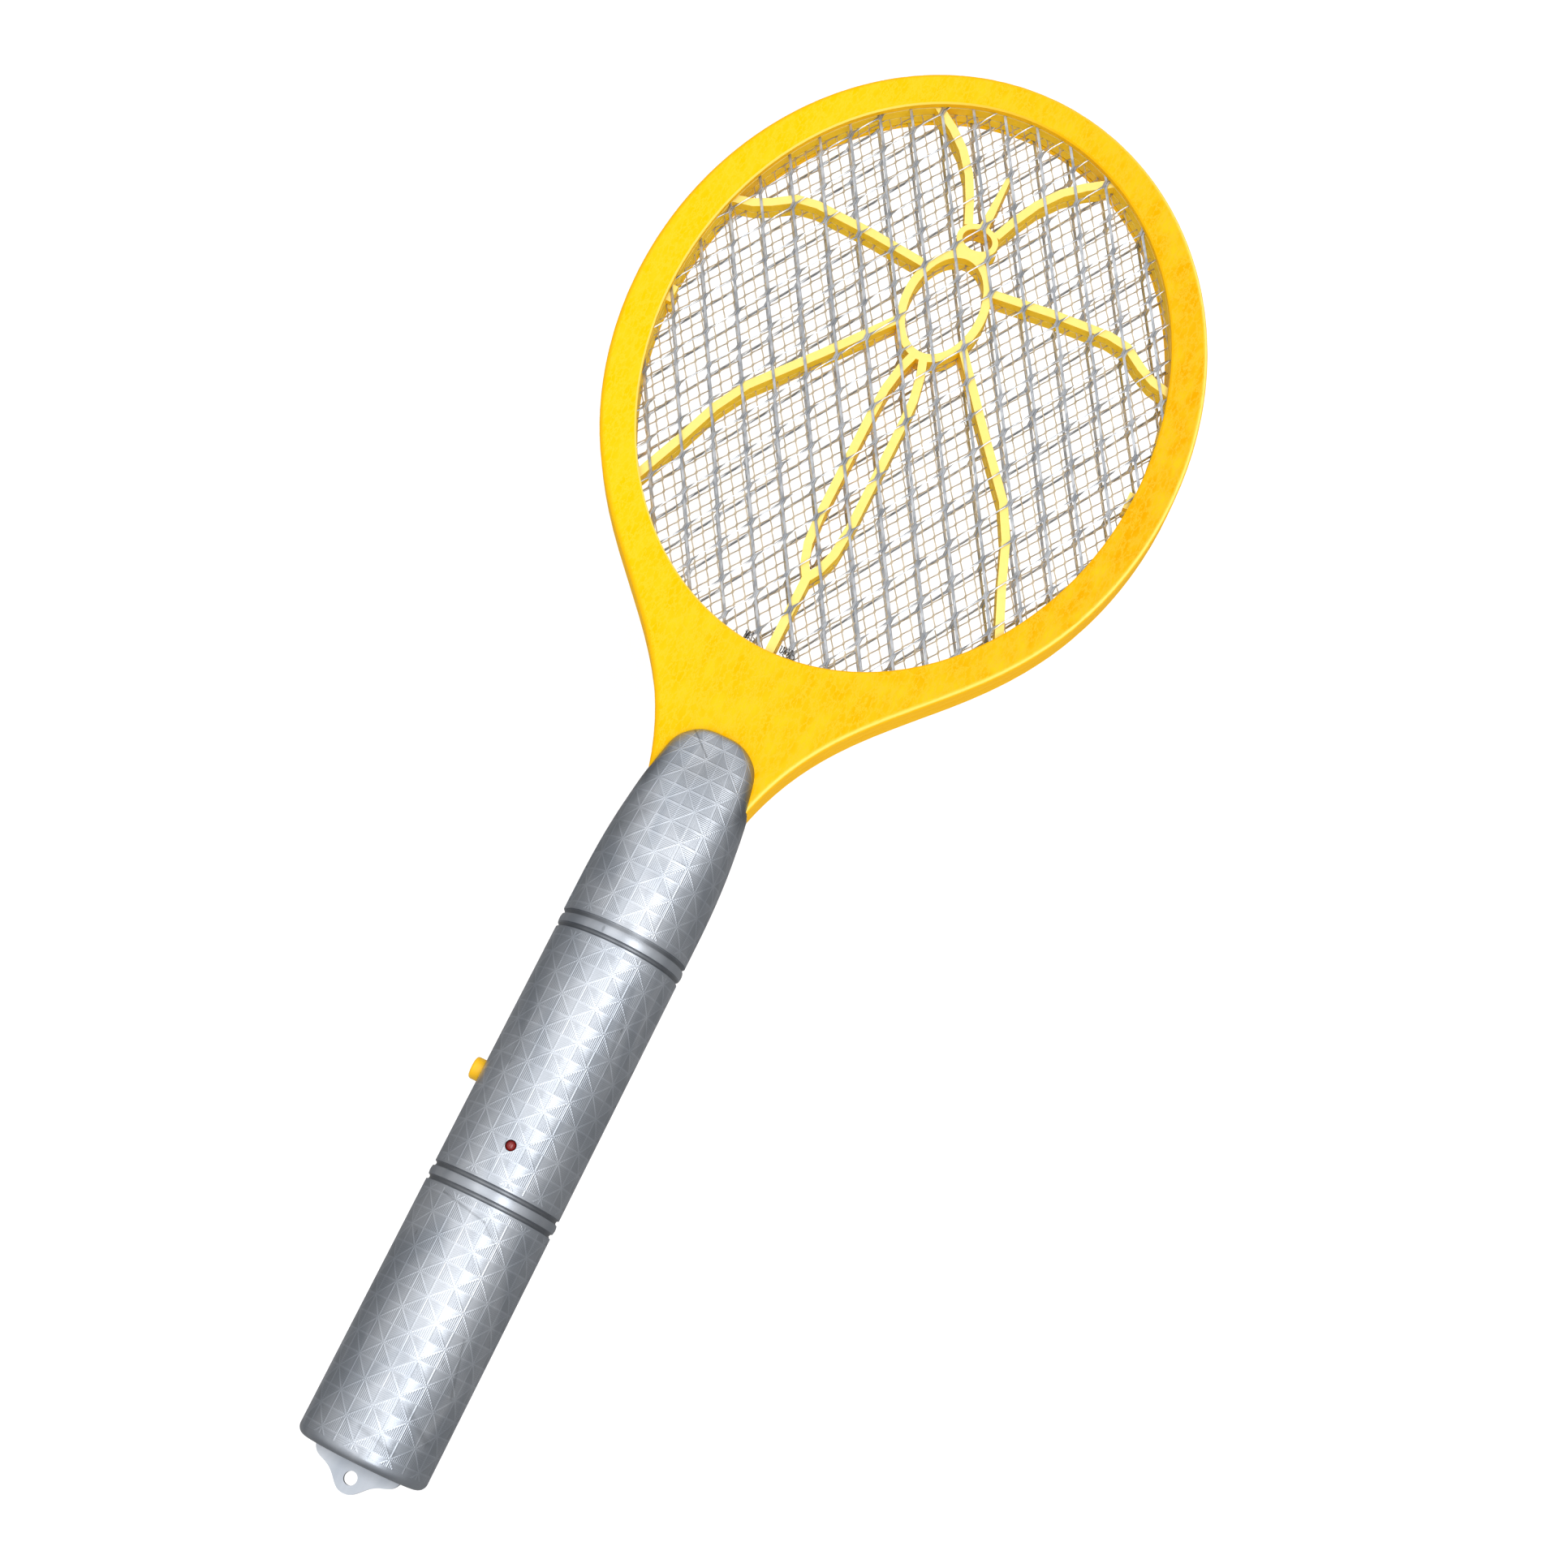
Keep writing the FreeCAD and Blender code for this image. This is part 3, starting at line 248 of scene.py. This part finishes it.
# Flow marks on the handle's front: start x, y, end x, y, half width, brightness.
FLOW_MARKS = (
    (-8.6, 225.4, -1.2, 218.4, 0.30, 0.62),
    (1.5, 216.0, -2.5, 212.0, 4.20, 0.80),
    (-9.0, 198.0, -14.5, 190.0, 2.60, 0.84),
    (-11.0, 77.5, 3.0, 74.8, 0.40, 0.74),
    (3.0, 74.8, 10.0, 69.0, 0.35, 0.80),
    (6.0, 24.0, 15.0, 17.0, 0.90, 0.80),
    (12.0, 45.0, 15.5, 30.0, 0.35, 0.78),
    (-2.0, 13.5, 9.0, 11.0, 0.70, 0.84),
    (-13.0, 131.0, -11.0, 118.0, 1.20, 0.88),
    (10.0, 150.0, 13.5, 126.0, 0.80, 0.88),
)
FAR = 100.0  # added to distances behind the handle's seam, to keep the marks off its back


def flow_mark(g, x, y, z, mark):
    """Brightness of a darker streak between two points of the front face."""
    x0, y0, x1, y1, half, dark = mark
    length = math.hypot(x1 - x0, y1 - y0)
    ux, uy = (x1 - x0) / length, (y1 - y0) / length
    dx, dy = g.math("SUBTRACT", x, x0), g.math("SUBTRACT", y, y0)
    along = g.math("ADD", g.math("MULTIPLY", dx, ux), g.math("MULTIPLY", dy, uy))
    off = g.math("SUBTRACT", g.math("MULTIPLY", dx, uy), g.math("MULTIPLY", dy, ux))
    beyond = g.math("SUBTRACT", g.distance(along, length / 2), length / 2)
    reach = g.math("MAXIMUM", g.math("MAXIMUM", beyond, 0.0), g.math("ABSOLUTE", off))
    reach = g.math("ADD", reach, g.ramp(z, 0.0, 2.0, FAR, 0.0))
    return g.ramp(reach, half * 0.3, half * 1.3, dark, 1.0)


RINGS_Y = (82.1, 160.4)      # middles of the two rings
RING_HALF = 3.4              # half length of the smooth band round a ring
GROOVE_OFF = 2.0             # from a ring's middle to the groove on either side
GROOVE_HALF = (0.35, 0.85)   # half width of a groove's shadow, full and fading
TAIL_Y = 4.5                 # end wall of the tail; the hanging tab lies below it
PATTERN_Y = 7.4              # where the hatch pattern starts
TONGUE_Y = (203.0, 213.0)    # painted shade on the tongue's rounded sides sets in from here
GROOVE_SHADE, TAB_SHADE, TONGUE_SHADE = 0.45, 0.70, 0.45


def silver_handle(name):
    """Silver-grey metallic plastic with flow marks and the moulded hatch pattern, with painted
    sheen and painted shade.
    """
    g = Graph(name)
    at = g.place()
    x, y, z = g.split(at)
    flow = g.noise(g.stretched(at, 0.06, 0.022, 0.06), 1.0, 3.0, 1.2)
    base = g.mix(g.ramp(flow, 0.38, 0.66), (0.345, 0.375, 0.420), (0.480, 0.505, 0.545))
    speck = g.ramp(g.cells(g.stretched(at, 0.11, 0.05, 0.11), 1.0)[0], 0.03, 0.06, 0.7, 1.0)
    relief, lattice, triangle_sheen = hatch(g, x, y, z)
    off_rings = [g.math("GREATER_THAN", g.distance(y, ring), RING_HALF) for ring in RINGS_Y]
    on = g.math("MULTIPLY", g.math("MULTIPLY", *off_rings), g.math("GREATER_THAN", y, PATTERN_Y))
    # Painted sheen on the hatch: the triangles' brightness and the lighter lattice and fine lines
    # stand in for reflections of the moulded lines.
    pattern = g.math("ADD", g.math("MULTIPLY", triangle_sheen, 0.07), g.math("MULTIPLY", lattice, 0.16))
    pattern = g.math("ADD", pattern, g.math("MULTIPLY", relief, 0.08))
    tint = g.math("ADD", speck, g.math("MULTIPLY", pattern, on))
    for groove in [ring + side * GROOVE_OFF for ring in RINGS_Y for side in (-1, 1)]:
        shadow = g.ramp(g.distance(y, groove), *GROOVE_HALF, GROOVE_SHADE, 1.0)
        tint = g.math("MULTIPLY", tint, shadow)
    tab_shadow = g.ramp(y, 1.0, TAIL_Y - 0.1, 1.0, TAB_SHADE)
    tint = g.math("MULTIPLY", tint, g.math("MAXIMUM", tab_shadow, g.ramp(y, TAIL_Y, TAIL_Y + 0.1)))
    # Painted shade: the tongue's rounded sides darker where they turn from facing up.
    tongue_side_shade = g.ramp(g.math("ABSOLUTE", g.normal()[2]), 0.30, 0.85, TONGUE_SHADE, 1.0)
    before_tongue = g.ramp(y, *TONGUE_Y, 1.0, 0.0)
    tint = g.math("MULTIPLY", tint, g.math("MAXIMUM", tongue_side_shade, before_tongue))
    for mark in FLOW_MARKS:
        tint = g.math("MULTIPLY", tint, flow_mark(g, x, y, z, mark))
    grey = g.add("ShaderNodeCombineColor")
    for socket in grey.inputs[:3]:
        g.link(tint, socket)
    colour = g.mix(1.0, base, grey.outputs[0], "MULTIPLY")
    normal = g.bump(g.math("MULTIPLY", relief, on), 0.06, 0.6)
    normal = g.bump(g.noise(at, 2.2, 3.0), 0.02, 0.35, normal)
    return g.finish(colour, g.ramp(flow, 0.3, 0.7, 0.30, 0.38), normal, Metallic=0.85)


def wire_metal(name, light, dark, rough, metallic):
    """Metal of strands, wires, plates and screws, brighter and duller in patches."""
    g = Graph(name)
    at = g.place()
    patches = g.noise(g.stretched(at, 0.5, 0.25, 0.5), 1.0, 3.0)
    nicks = g.noise(g.stretched(at, 3.0, 1.2, 3.0), 1.0, 3.0)
    colour = g.mix(g.ramp(patches, 0.38, 0.62), dark, light)
    return g.finish(colour, g.ramp(nicks, 0.3, 0.7, rough, rough + 0.15),
                    g.bump(nicks, 0.05, 0.5), Metallic=metallic)


def plain_plastic(name, colour, second, rough, grain=1.5, depth=0.03):
    """Moulded plastic, lacquer, ferrite or cable sleeve, slightly mottled."""
    g = Graph(name)
    at = g.place()
    mottle = g.noise(at, grain * 0.2, 3.0)
    height = g.noise(at, grain, 4.0)
    return g.finish(g.mix(mottle, colour, second), g.ramp(height, 0.3, 0.7, rough, rough + 0.12),
                    g.bump(height, depth, 0.4))


def lamp_epoxy(name):
    """Dark red tinted epoxy of the indicator lamp."""
    g = Graph(name)
    depth = g.noise(g.place(), 0.9, 2.0)
    return g.finish(g.mix(depth, (0.14, 0.002, 0.001), (0.30, 0.008, 0.005)), 0.12, None,
                    Coat_Weight=0.6, Coat_Roughness=0.05)


CELLS_MIDDLE_Y = 38.0
BAND_SHIFT = 12.0  # the copper part starts nearer the tail on the right cell than on the left


def cell_sleeve(name):
    """Printed sleeve of a battery cell: dark towards the tail, copper-coloured beyond a line."""
    g = Graph(name)
    at = g.place()
    x, y = g.split(at)[:2]
    shifted = g.math("SUBTRACT", y, g.math("MULTIPLY", g.math("SIGN", x), -BAND_SHIFT))
    band = g.math("GREATER_THAN", shifted, CELLS_MIDDLE_Y)
    colour = g.mix(band, (0.02, 0.022, 0.026), (0.60, 0.33, 0.09))
    height = g.noise(at, 0.8, 3.0)
    return g.finish(colour, g.ramp(height, 0.3, 0.7, 0.22, 0.3), g.bump(height, 0.02, 0.3),
                    Metallic=0.35)


def board_mask(name):
    """Green solder mask over faint copper tracks."""
    g = Graph(name)
    at = g.place()
    tracks = g.cells(g.stretched(at, 0.25, 0.12, 0.1), 1.0, "DISTANCE_TO_EDGE")[0]
    colour = g.mix(g.ramp(tracks, 0.04, 0.06), (0.10, 0.30, 0.10), (0.012, 0.12, 0.035))
    return g.finish(colour, 0.3, g.bump(tracks, 0.03, 0.4))


# The materials by a short key, and the pieces of the CAD model that each one covers.
M = {
    "cover": yellow_cover("yellow_cover"),
    "rib": rib_plastic("rib_plastic"),
    "handle": silver_handle("silver_handle"),
    "screw": wire_metal("screw_metal", (0.62, 0.62, 0.63), (0.42, 0.42, 0.43), 0.3, 0.95),
    "coarse": wire_metal("zinc_strand", (0.66, 0.68, 0.71), (0.40, 0.42, 0.45), 0.34, 0.8),
    "fine": wire_metal("fine_strand", (0.60, 0.50, 0.36), (0.40, 0.32, 0.21), 0.42, 0.5),
    "nickel": wire_metal("nickel_plate", (0.75, 0.74, 0.71), (0.58, 0.57, 0.54), 0.25, 0.95),
    "dark_wire": wire_metal("dull_wire", (0.14, 0.13, 0.12), (0.05, 0.045, 0.04), 0.45, 0.6),
    "solder": wire_metal("dull_solder", (0.55, 0.55, 0.57), (0.38, 0.38, 0.40), 0.4, 0.85),
    "button": plain_plastic("button_plastic", (1.0, 0.52, 0.0), (1.0, 0.58, 0.003), 0.34),
    "lamp": lamp_epoxy("lamp_epoxy"),
    "cell": cell_sleeve("cell_sleeve"),
    "board": board_mask("board_mask"),
    "black": plain_plastic("black_plastic", (0.012, 0.012, 0.013), (0.02, 0.02, 0.021), 0.5),
    "ferrite": plain_plastic("ferrite", (0.022, 0.022, 0.025), (0.04, 0.04, 0.044), 0.6,
                             grain=3.0, depth=0.06),
    "tape": plain_plastic("winding_tape", (0.75, 0.50, 0.05), (0.66, 0.42, 0.03), 0.4),
    "film": plain_plastic("film_epoxy", (0.22, 0.045, 0.015), (0.28, 0.06, 0.02), 0.25),
    "tan": plain_plastic("resistor_lacquer", (0.55, 0.38, 0.20), (0.60, 0.42, 0.24), 0.35),
    "red_wire": plain_plastic("red_pvc", (0.42, 0.012, 0.01), (0.48, 0.02, 0.015), 0.4),
    "black_wire": plain_plastic("black_pvc", (0.015, 0.015, 0.015), (0.025, 0.025, 0.025), 0.4),
    "white_wire": plain_plastic("white_pvc", (0.68, 0.67, 0.64), (0.74, 0.73, 0.70), 0.4),
}

FINISH = {
    "cover": ["front_rim_cover", "back_rim_cover"],
    "rib": ["front_rib_frame", "back_rib_frame"],
    "handle": ["handle_front_shell", "handle_back_shell", "battery_door"],
    "screw": ["rim_screws", "handle_screws", "neck_screws", "board_screws"],
    "nickel": ["bridge_contact", "positive_contact", "negative_contact", "contact_springs"],
    "coarse": ["front_grid", "back_grid"],
    "fine": ["centre_grid"],
    "dark_wire": ["grid_ties"],
    "solder": ["solder_joints"],
    "button": ["push_button"],
    "lamp": ["indicator_led"],
    "cell": ["cell_left", "cell_right"],
    "board": ["circuit_board"],
    "black": ["tact_switch", "switch_plunger", "oscillator_transistor", "rectifier_diodes"],
    "ferrite": ["transformer_core"],
    "tape": ["transformer_coil"],
    "film": ["storage_capacitor", "multiplier_capacitors"],
    "tan": ["resistors"],
    "red_wire": ["battery_lead_positive", "hv_lead_centre"],
    "black_wire": ["battery_lead_negative"],
    "white_wire": ["hv_lead_front", "hv_lead_back"],
}


def give_finishes():
    """Puts the materials on the pieces that come from the CAD model."""
    for key, names in FINISH.items():
        for name in names:
            mesh = NODES[name].data
            mesh.materials.clear()
            mesh.materials.append(M[key])


# ----------------------------------------------------------------------- grids
def mesh_piece(name, points, faces, material):
    mesh = bpy.data.meshes.new(name)
    mesh.from_pydata(points, [], faces)
    mesh.materials.append(material)
    mesh.update()
    piece = bpy.data.objects.new(name, mesh)
    bpy.context.scene.collection.objects.link(piece)
    return piece


def direction(line, i):
    """The way that the line runs at its point i, from the points on either side."""
    return line[min(i + 1, len(line) - 1)] - line[max(i - 1, 0)]


def join_rings(faces, first, count, sides):
    """Adds the faces between the rings of corners that start at a point, then the two ends."""
    last = first + sides * (count - 1)
    for a in range(first, last, sides):
        for k in range(sides):
            n = (k + 1) % sides
            faces.append((a + k, a + n, a + sides + n, a + sides + k))
    faces.append(tuple(range(first, first + sides))[::-1])
    faces.append(tuple(range(last, last + sides)))


def add_bar(points, faces, line, width, thick, tilts):
    """Adds a rectangular bar along the line, its section turned by a tilt at each point."""
    first = len(points)
    for i, centre in enumerate(line):
        ahead = direction(line, i)
        across = Vector((ahead.y, -ahead.x, 0)).normalized()
        up = Vector((0, 0, 1))
        c, s = math.cos(tilts[i]), math.sin(tilts[i])
        wide = (across * c + up * s) * (width / 2)
        high = (up * c - across * s) * (thick / 2)
        points += [centre + wide * a + high * b for a, b in CORNERS]
    join_rings(faces, first, len(line), len(CORNERS))


# Pitches of the diamonds, length of the bond between two strands, width and thickness of a strand,
# its tilts (on a span that slants left, at a bond, on a span that slants right), the points within
# a span, and the height of the sheet's waves.
Sheet = namedtuple("Sheet", "pitch_x pitch_y bond width thick tilts inner wave")
COARSE_TILTS = tuple(math.radians(angle) for angle in (24, 30, 72))
COARSE = Sheet(11.0, 19.5, 2.2, 0.82, 0.30, COARSE_TILTS, 2, 0.06)
FINE = Sheet(4.0, 6.4, 1.0, 0.34, 0.20, (math.radians(10), 0.1, math.radians(50)), 1, 0.0)
COARSE_Z = 4.3                # height of the front sheet over the middle one
BOND_Y = 407.5                # a row of bonds; the others follow from the pitch
SHEET_MARGIN = 0.4            # from the outline of the grid to the last point of a strand
SHORTEST = 3                  # a run of fewer points is left out
WAVE_X, WAVE_Y = 0.13, 0.05   # how fast the waves turn along X and Y, in radians for each mm


def zigzag(column, sheet):
    """One strand of expanded metal: it runs along Y and meets its two neighbours in turn.

    Returns a list of (x, y, lean), where lean is 0 at a bond and 1 or -1 on a span that slants
    right or left.
    """
    middle = (column + 0.5) * sheet.pitch_x / 2
    reach = sheet.pitch_x / 4 - sheet.width / 2
    steps = []
    turn = 1 if column % 2 == 0 else -1
    count = int(4 * GRID_HALF.y / MM / sheet.pitch_y) + 3  # enough to cross the whole grid
    for i in range(-count, count + 1):
        side = turn if i % 2 == 0 else -turn
        bond_y = BOND_Y + i * sheet.pitch_y / 2
        for dy in (-sheet.bond / 2, sheet.bond / 2):
            steps.append((middle - side * reach, bond_y + dy, 0))
        for s in range(1, sheet.inner + 1):
            t = s / (sheet.inner + 1)
            x = middle - side * reach * (1 - 2 * t)
            y = bond_y + sheet.bond / 2 + (sheet.pitch_y / 2 - sheet.bond) * t
            steps.append((x, y, side))
    return steps


def inside_runs(steps):
    """Cuts a strand into the runs that lie inside the grid's oval."""
    centre_y = GRID_CENTRE.y / MM
    half_x, half_y = GRID_HALF.x / MM - SHEET_MARGIN, GRID_HALF.y / MM - SHEET_MARGIN
    runs = [[]]
    for step in steps:
        if math.hypot(step[0] / half_x, (step[1] - centre_y) / half_y) < 1:
            runs[-1].append(step)
        else:
            runs.append([])
    return [run for run in runs if len(run) >= SHORTEST]


def expanded_metal(name, z, sheet, turn, node, material):
    """A sheet of expanded metal in place of a node; turn is -1 where its face is to the back."""
    points, faces = [], []
    columns = int(GRID_HALF.x / MM / (sheet.pitch_x / 2)) + 1
    for column in range(-columns, columns):
        for run in inside_runs(zigzag(column, sheet)):
            line, tilts = [], []
            for x, y, lean in run:
                lift = sheet.wave * math.sin(x * WAVE_X + y * WAVE_Y)
                line.append(Vector((x, y, z + lift)) * MM)
                tilts.append(turn * sheet.tilts[lean + 1])
            add_bar(points, faces, line, sheet.width * MM, sheet.thick * MM, tilts)
    piece = mesh_piece(name, points, faces, material)
    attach(piece, "racket")
    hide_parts(node)
    return piece


def build_grids():
    for name, turn, node in (("front_strands", 1, "front_grid"),
                             ("back_strands", -1, "back_grid")):
        piece = expanded_metal(name, turn * COARSE_Z, COARSE, turn, node, M["coarse"])
    piece = expanded_metal("centre_strands", 0.0, FINE, 1, "centre_grid", M["fine"])


# ------------------------------------------------------------------- wire ties
# Middle of each tie, its turns, its length along X and the radius of its loose curl.
TIES = (
    (-7.3, 258.9, 2.5, 2.4, 0.5),
    (-7.9, 258.4, 1.5, 1.5, -0.4),
    (3.4, 258.9, 1.5, 1.6, 0.9),
    (5.2, 259.0, 2.5, 2.2, 0.7),
)
TIE_Z = 4.35
COIL_Y, COIL_Z = 1.05, 0.62   # half sizes of the oval coil
COIL_STEPS = 14               # points in a turn
WANDER = 0.16                 # unevenness of the coil along X
CURL_STEPS, CURL_ANGLE, CURL_RISE = 12, math.pi * 1.6, 0.05
WIRE_RADIUS, WIRE_SIDES = 0.16, 6


def add_wire(points, faces, line, radius, sides):
    """Adds a round wire along the line."""
    first = len(points)
    across = Vector((0, 0, 1))
    for i, centre in enumerate(line):
        ahead = direction(line, i).normalized()
        across = (across - ahead * across.dot(ahead)).normalized()
        other = ahead.cross(across)
        for k in range(sides):
            angle = 2 * math.pi * k / sides
            points.append(centre + (across * math.cos(angle) + other * math.sin(angle)) * radius)
    join_rings(faces, first, len(line), sides)


def twisted_tie(x, y, turns, spread, curl):
    """Wire wound round a strand along X, ending in a loose curl."""
    line = []
    steps = int(turns * COIL_STEPS)
    for i in range(steps + 1):
        t = i / steps
        angle = 2 * math.pi * turns * t
        wander = WANDER * math.sin(5.3 * t * math.pi)
        line.append(Vector((x + spread * (t - 0.5) + wander, y + COIL_Y * math.cos(angle),
                            TIE_Z + COIL_Z * math.sin(angle))) * MM)
    end = line[-1]
    for i in range(1, CURL_STEPS + 1):
        angle = CURL_ANGLE * i / CURL_STEPS
        step = Vector((curl * (1 - math.cos(angle)), -curl * math.sin(angle), CURL_RISE * i))
        line.append(end + step * MM)
    return line


def build_ties():
    points, faces = [], []
    for tie in TIES:
        add_wire(points, faces, twisted_tie(*tie), WIRE_RADIUS * MM, WIRE_SIDES)
    piece = mesh_piece("twisted_ties", points, faces, M["dark_wire"])
    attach(piece, "racket")
    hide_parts("grid_ties")


# --------------------------------------------------------------- camera, light
def aim(thing, place, target, lean=0.0):
    """Points a camera or light at a target, with the racket's +Y axis leaning clockwise."""
    back = (Vector(place) - Vector(target)).normalized()
    along = Vector((0, 1, 0))
    along = (along - back * along.dot(back)).normalized()
    up = Matrix.Rotation(lean, 3, back) @ along
    turn = Matrix((up.cross(back), up, back)).transposed()
    thing.matrix_world = Matrix.Translation(place) @ turn.to_4x4()


CAMERA_PLACE = (0.08794, 0.04197, 0.72817)
CAMERA_TARGET = (0.02076, 0.22399, 0.0)
CAMERA_LEAN = math.radians(26.5)
CAMERA_LENS = 60.19
LIT_POINT = (0, 0.23, 0)
FLOOR_REACH, FLOOR_Z = 3.0, -0.25
SKY_LOW, SKY_HIGH = -0.1, 0.95       # heights of a ray between which the sky brightens
SKY_DIM, SKY_BRIGHT = 0.24, 1.02


def add_camera():
    """0.75 m from the racket's middle, over the handle, leaned so that the racket stands tilted."""
    data = bpy.data.cameras.new("camera")
    data.lens = CAMERA_LENS
    data.sensor_width = 36.0
    data.clip_start = 0.02
    camera = bpy.data.objects.new("camera", data)
    bpy.context.scene.collection.objects.link(camera)
    aim(camera, CAMERA_PLACE, CAMERA_TARGET, CAMERA_LEAN)
    bpy.context.scene.camera = camera


def area_light(name, place, size, power):
    data = bpy.data.lights.new(name, "AREA")
    data.shape = "RECTANGLE"
    data.size, data.size_y = size
    data.energy = power
    light = bpy.data.objects.new(name, data)
    bpy.context.scene.collection.objects.link(light)
    aim(light, place, LIT_POINT)


def add_floor():
    """Pale floor well below the racket; it isn't mirrored in the shiny parts."""
    corners = [(x * FLOOR_REACH, y * FLOOR_REACH, FLOOR_Z) for x, y in CORNERS]
    g = Graph("pale_floor")
    grain = g.noise(g.place(), 0.02, 2.0)
    material = g.finish(g.mix(grain, (0.93, 0.93, 0.93), (0.95, 0.95, 0.95)), 0.8,
                        Emission_Color=(1, 1, 1, 1), Emission_Strength=0.12)
    floor = mesh_piece("floor", corners, [(0, 1, 2, 3)], material)
    floor.visible_glossy = False


def add_world():
    """Soft light tent: bright overhead, dim near the horizon."""
    world = bpy.data.worlds.new("studio")
    world.use_nodes = True
    nodes, links = world.node_tree.nodes, world.node_tree.links
    coords = nodes.new("ShaderNodeTexCoord")
    split = nodes.new("ShaderNodeSeparateXYZ")
    height = nodes.new("ShaderNodeMapRange")
    for socket, value in zip(height.inputs[1:5], (SKY_LOW, SKY_HIGH, SKY_DIM, SKY_BRIGHT)):
        socket.default_value = value
    links.new(coords.outputs["Generated"], split.inputs[0])
    links.new(split.outputs[2], height.inputs[0])
    links.new(height.outputs[0], nodes["Background"].inputs[1])
    nodes["Background"].inputs[0].default_value = (1, 1, 1, 1)
    bpy.context.scene.world = world


def add_lights():
    """A long key light on the right and a weaker one on the left, in metres and watts."""
    area_light("key", (0.40, 0.1, 0.88), (0.40, 1.4), 4.8)
    area_light("fill", (-0.30, 0.3, 1.0), (0.60, 1.4), 2.2)
    bpy.context.scene.view_settings.view_transform = "Standard"


give_finishes()
build_grids()
build_ties()
add_camera()
add_floor()
add_world()
add_lights()
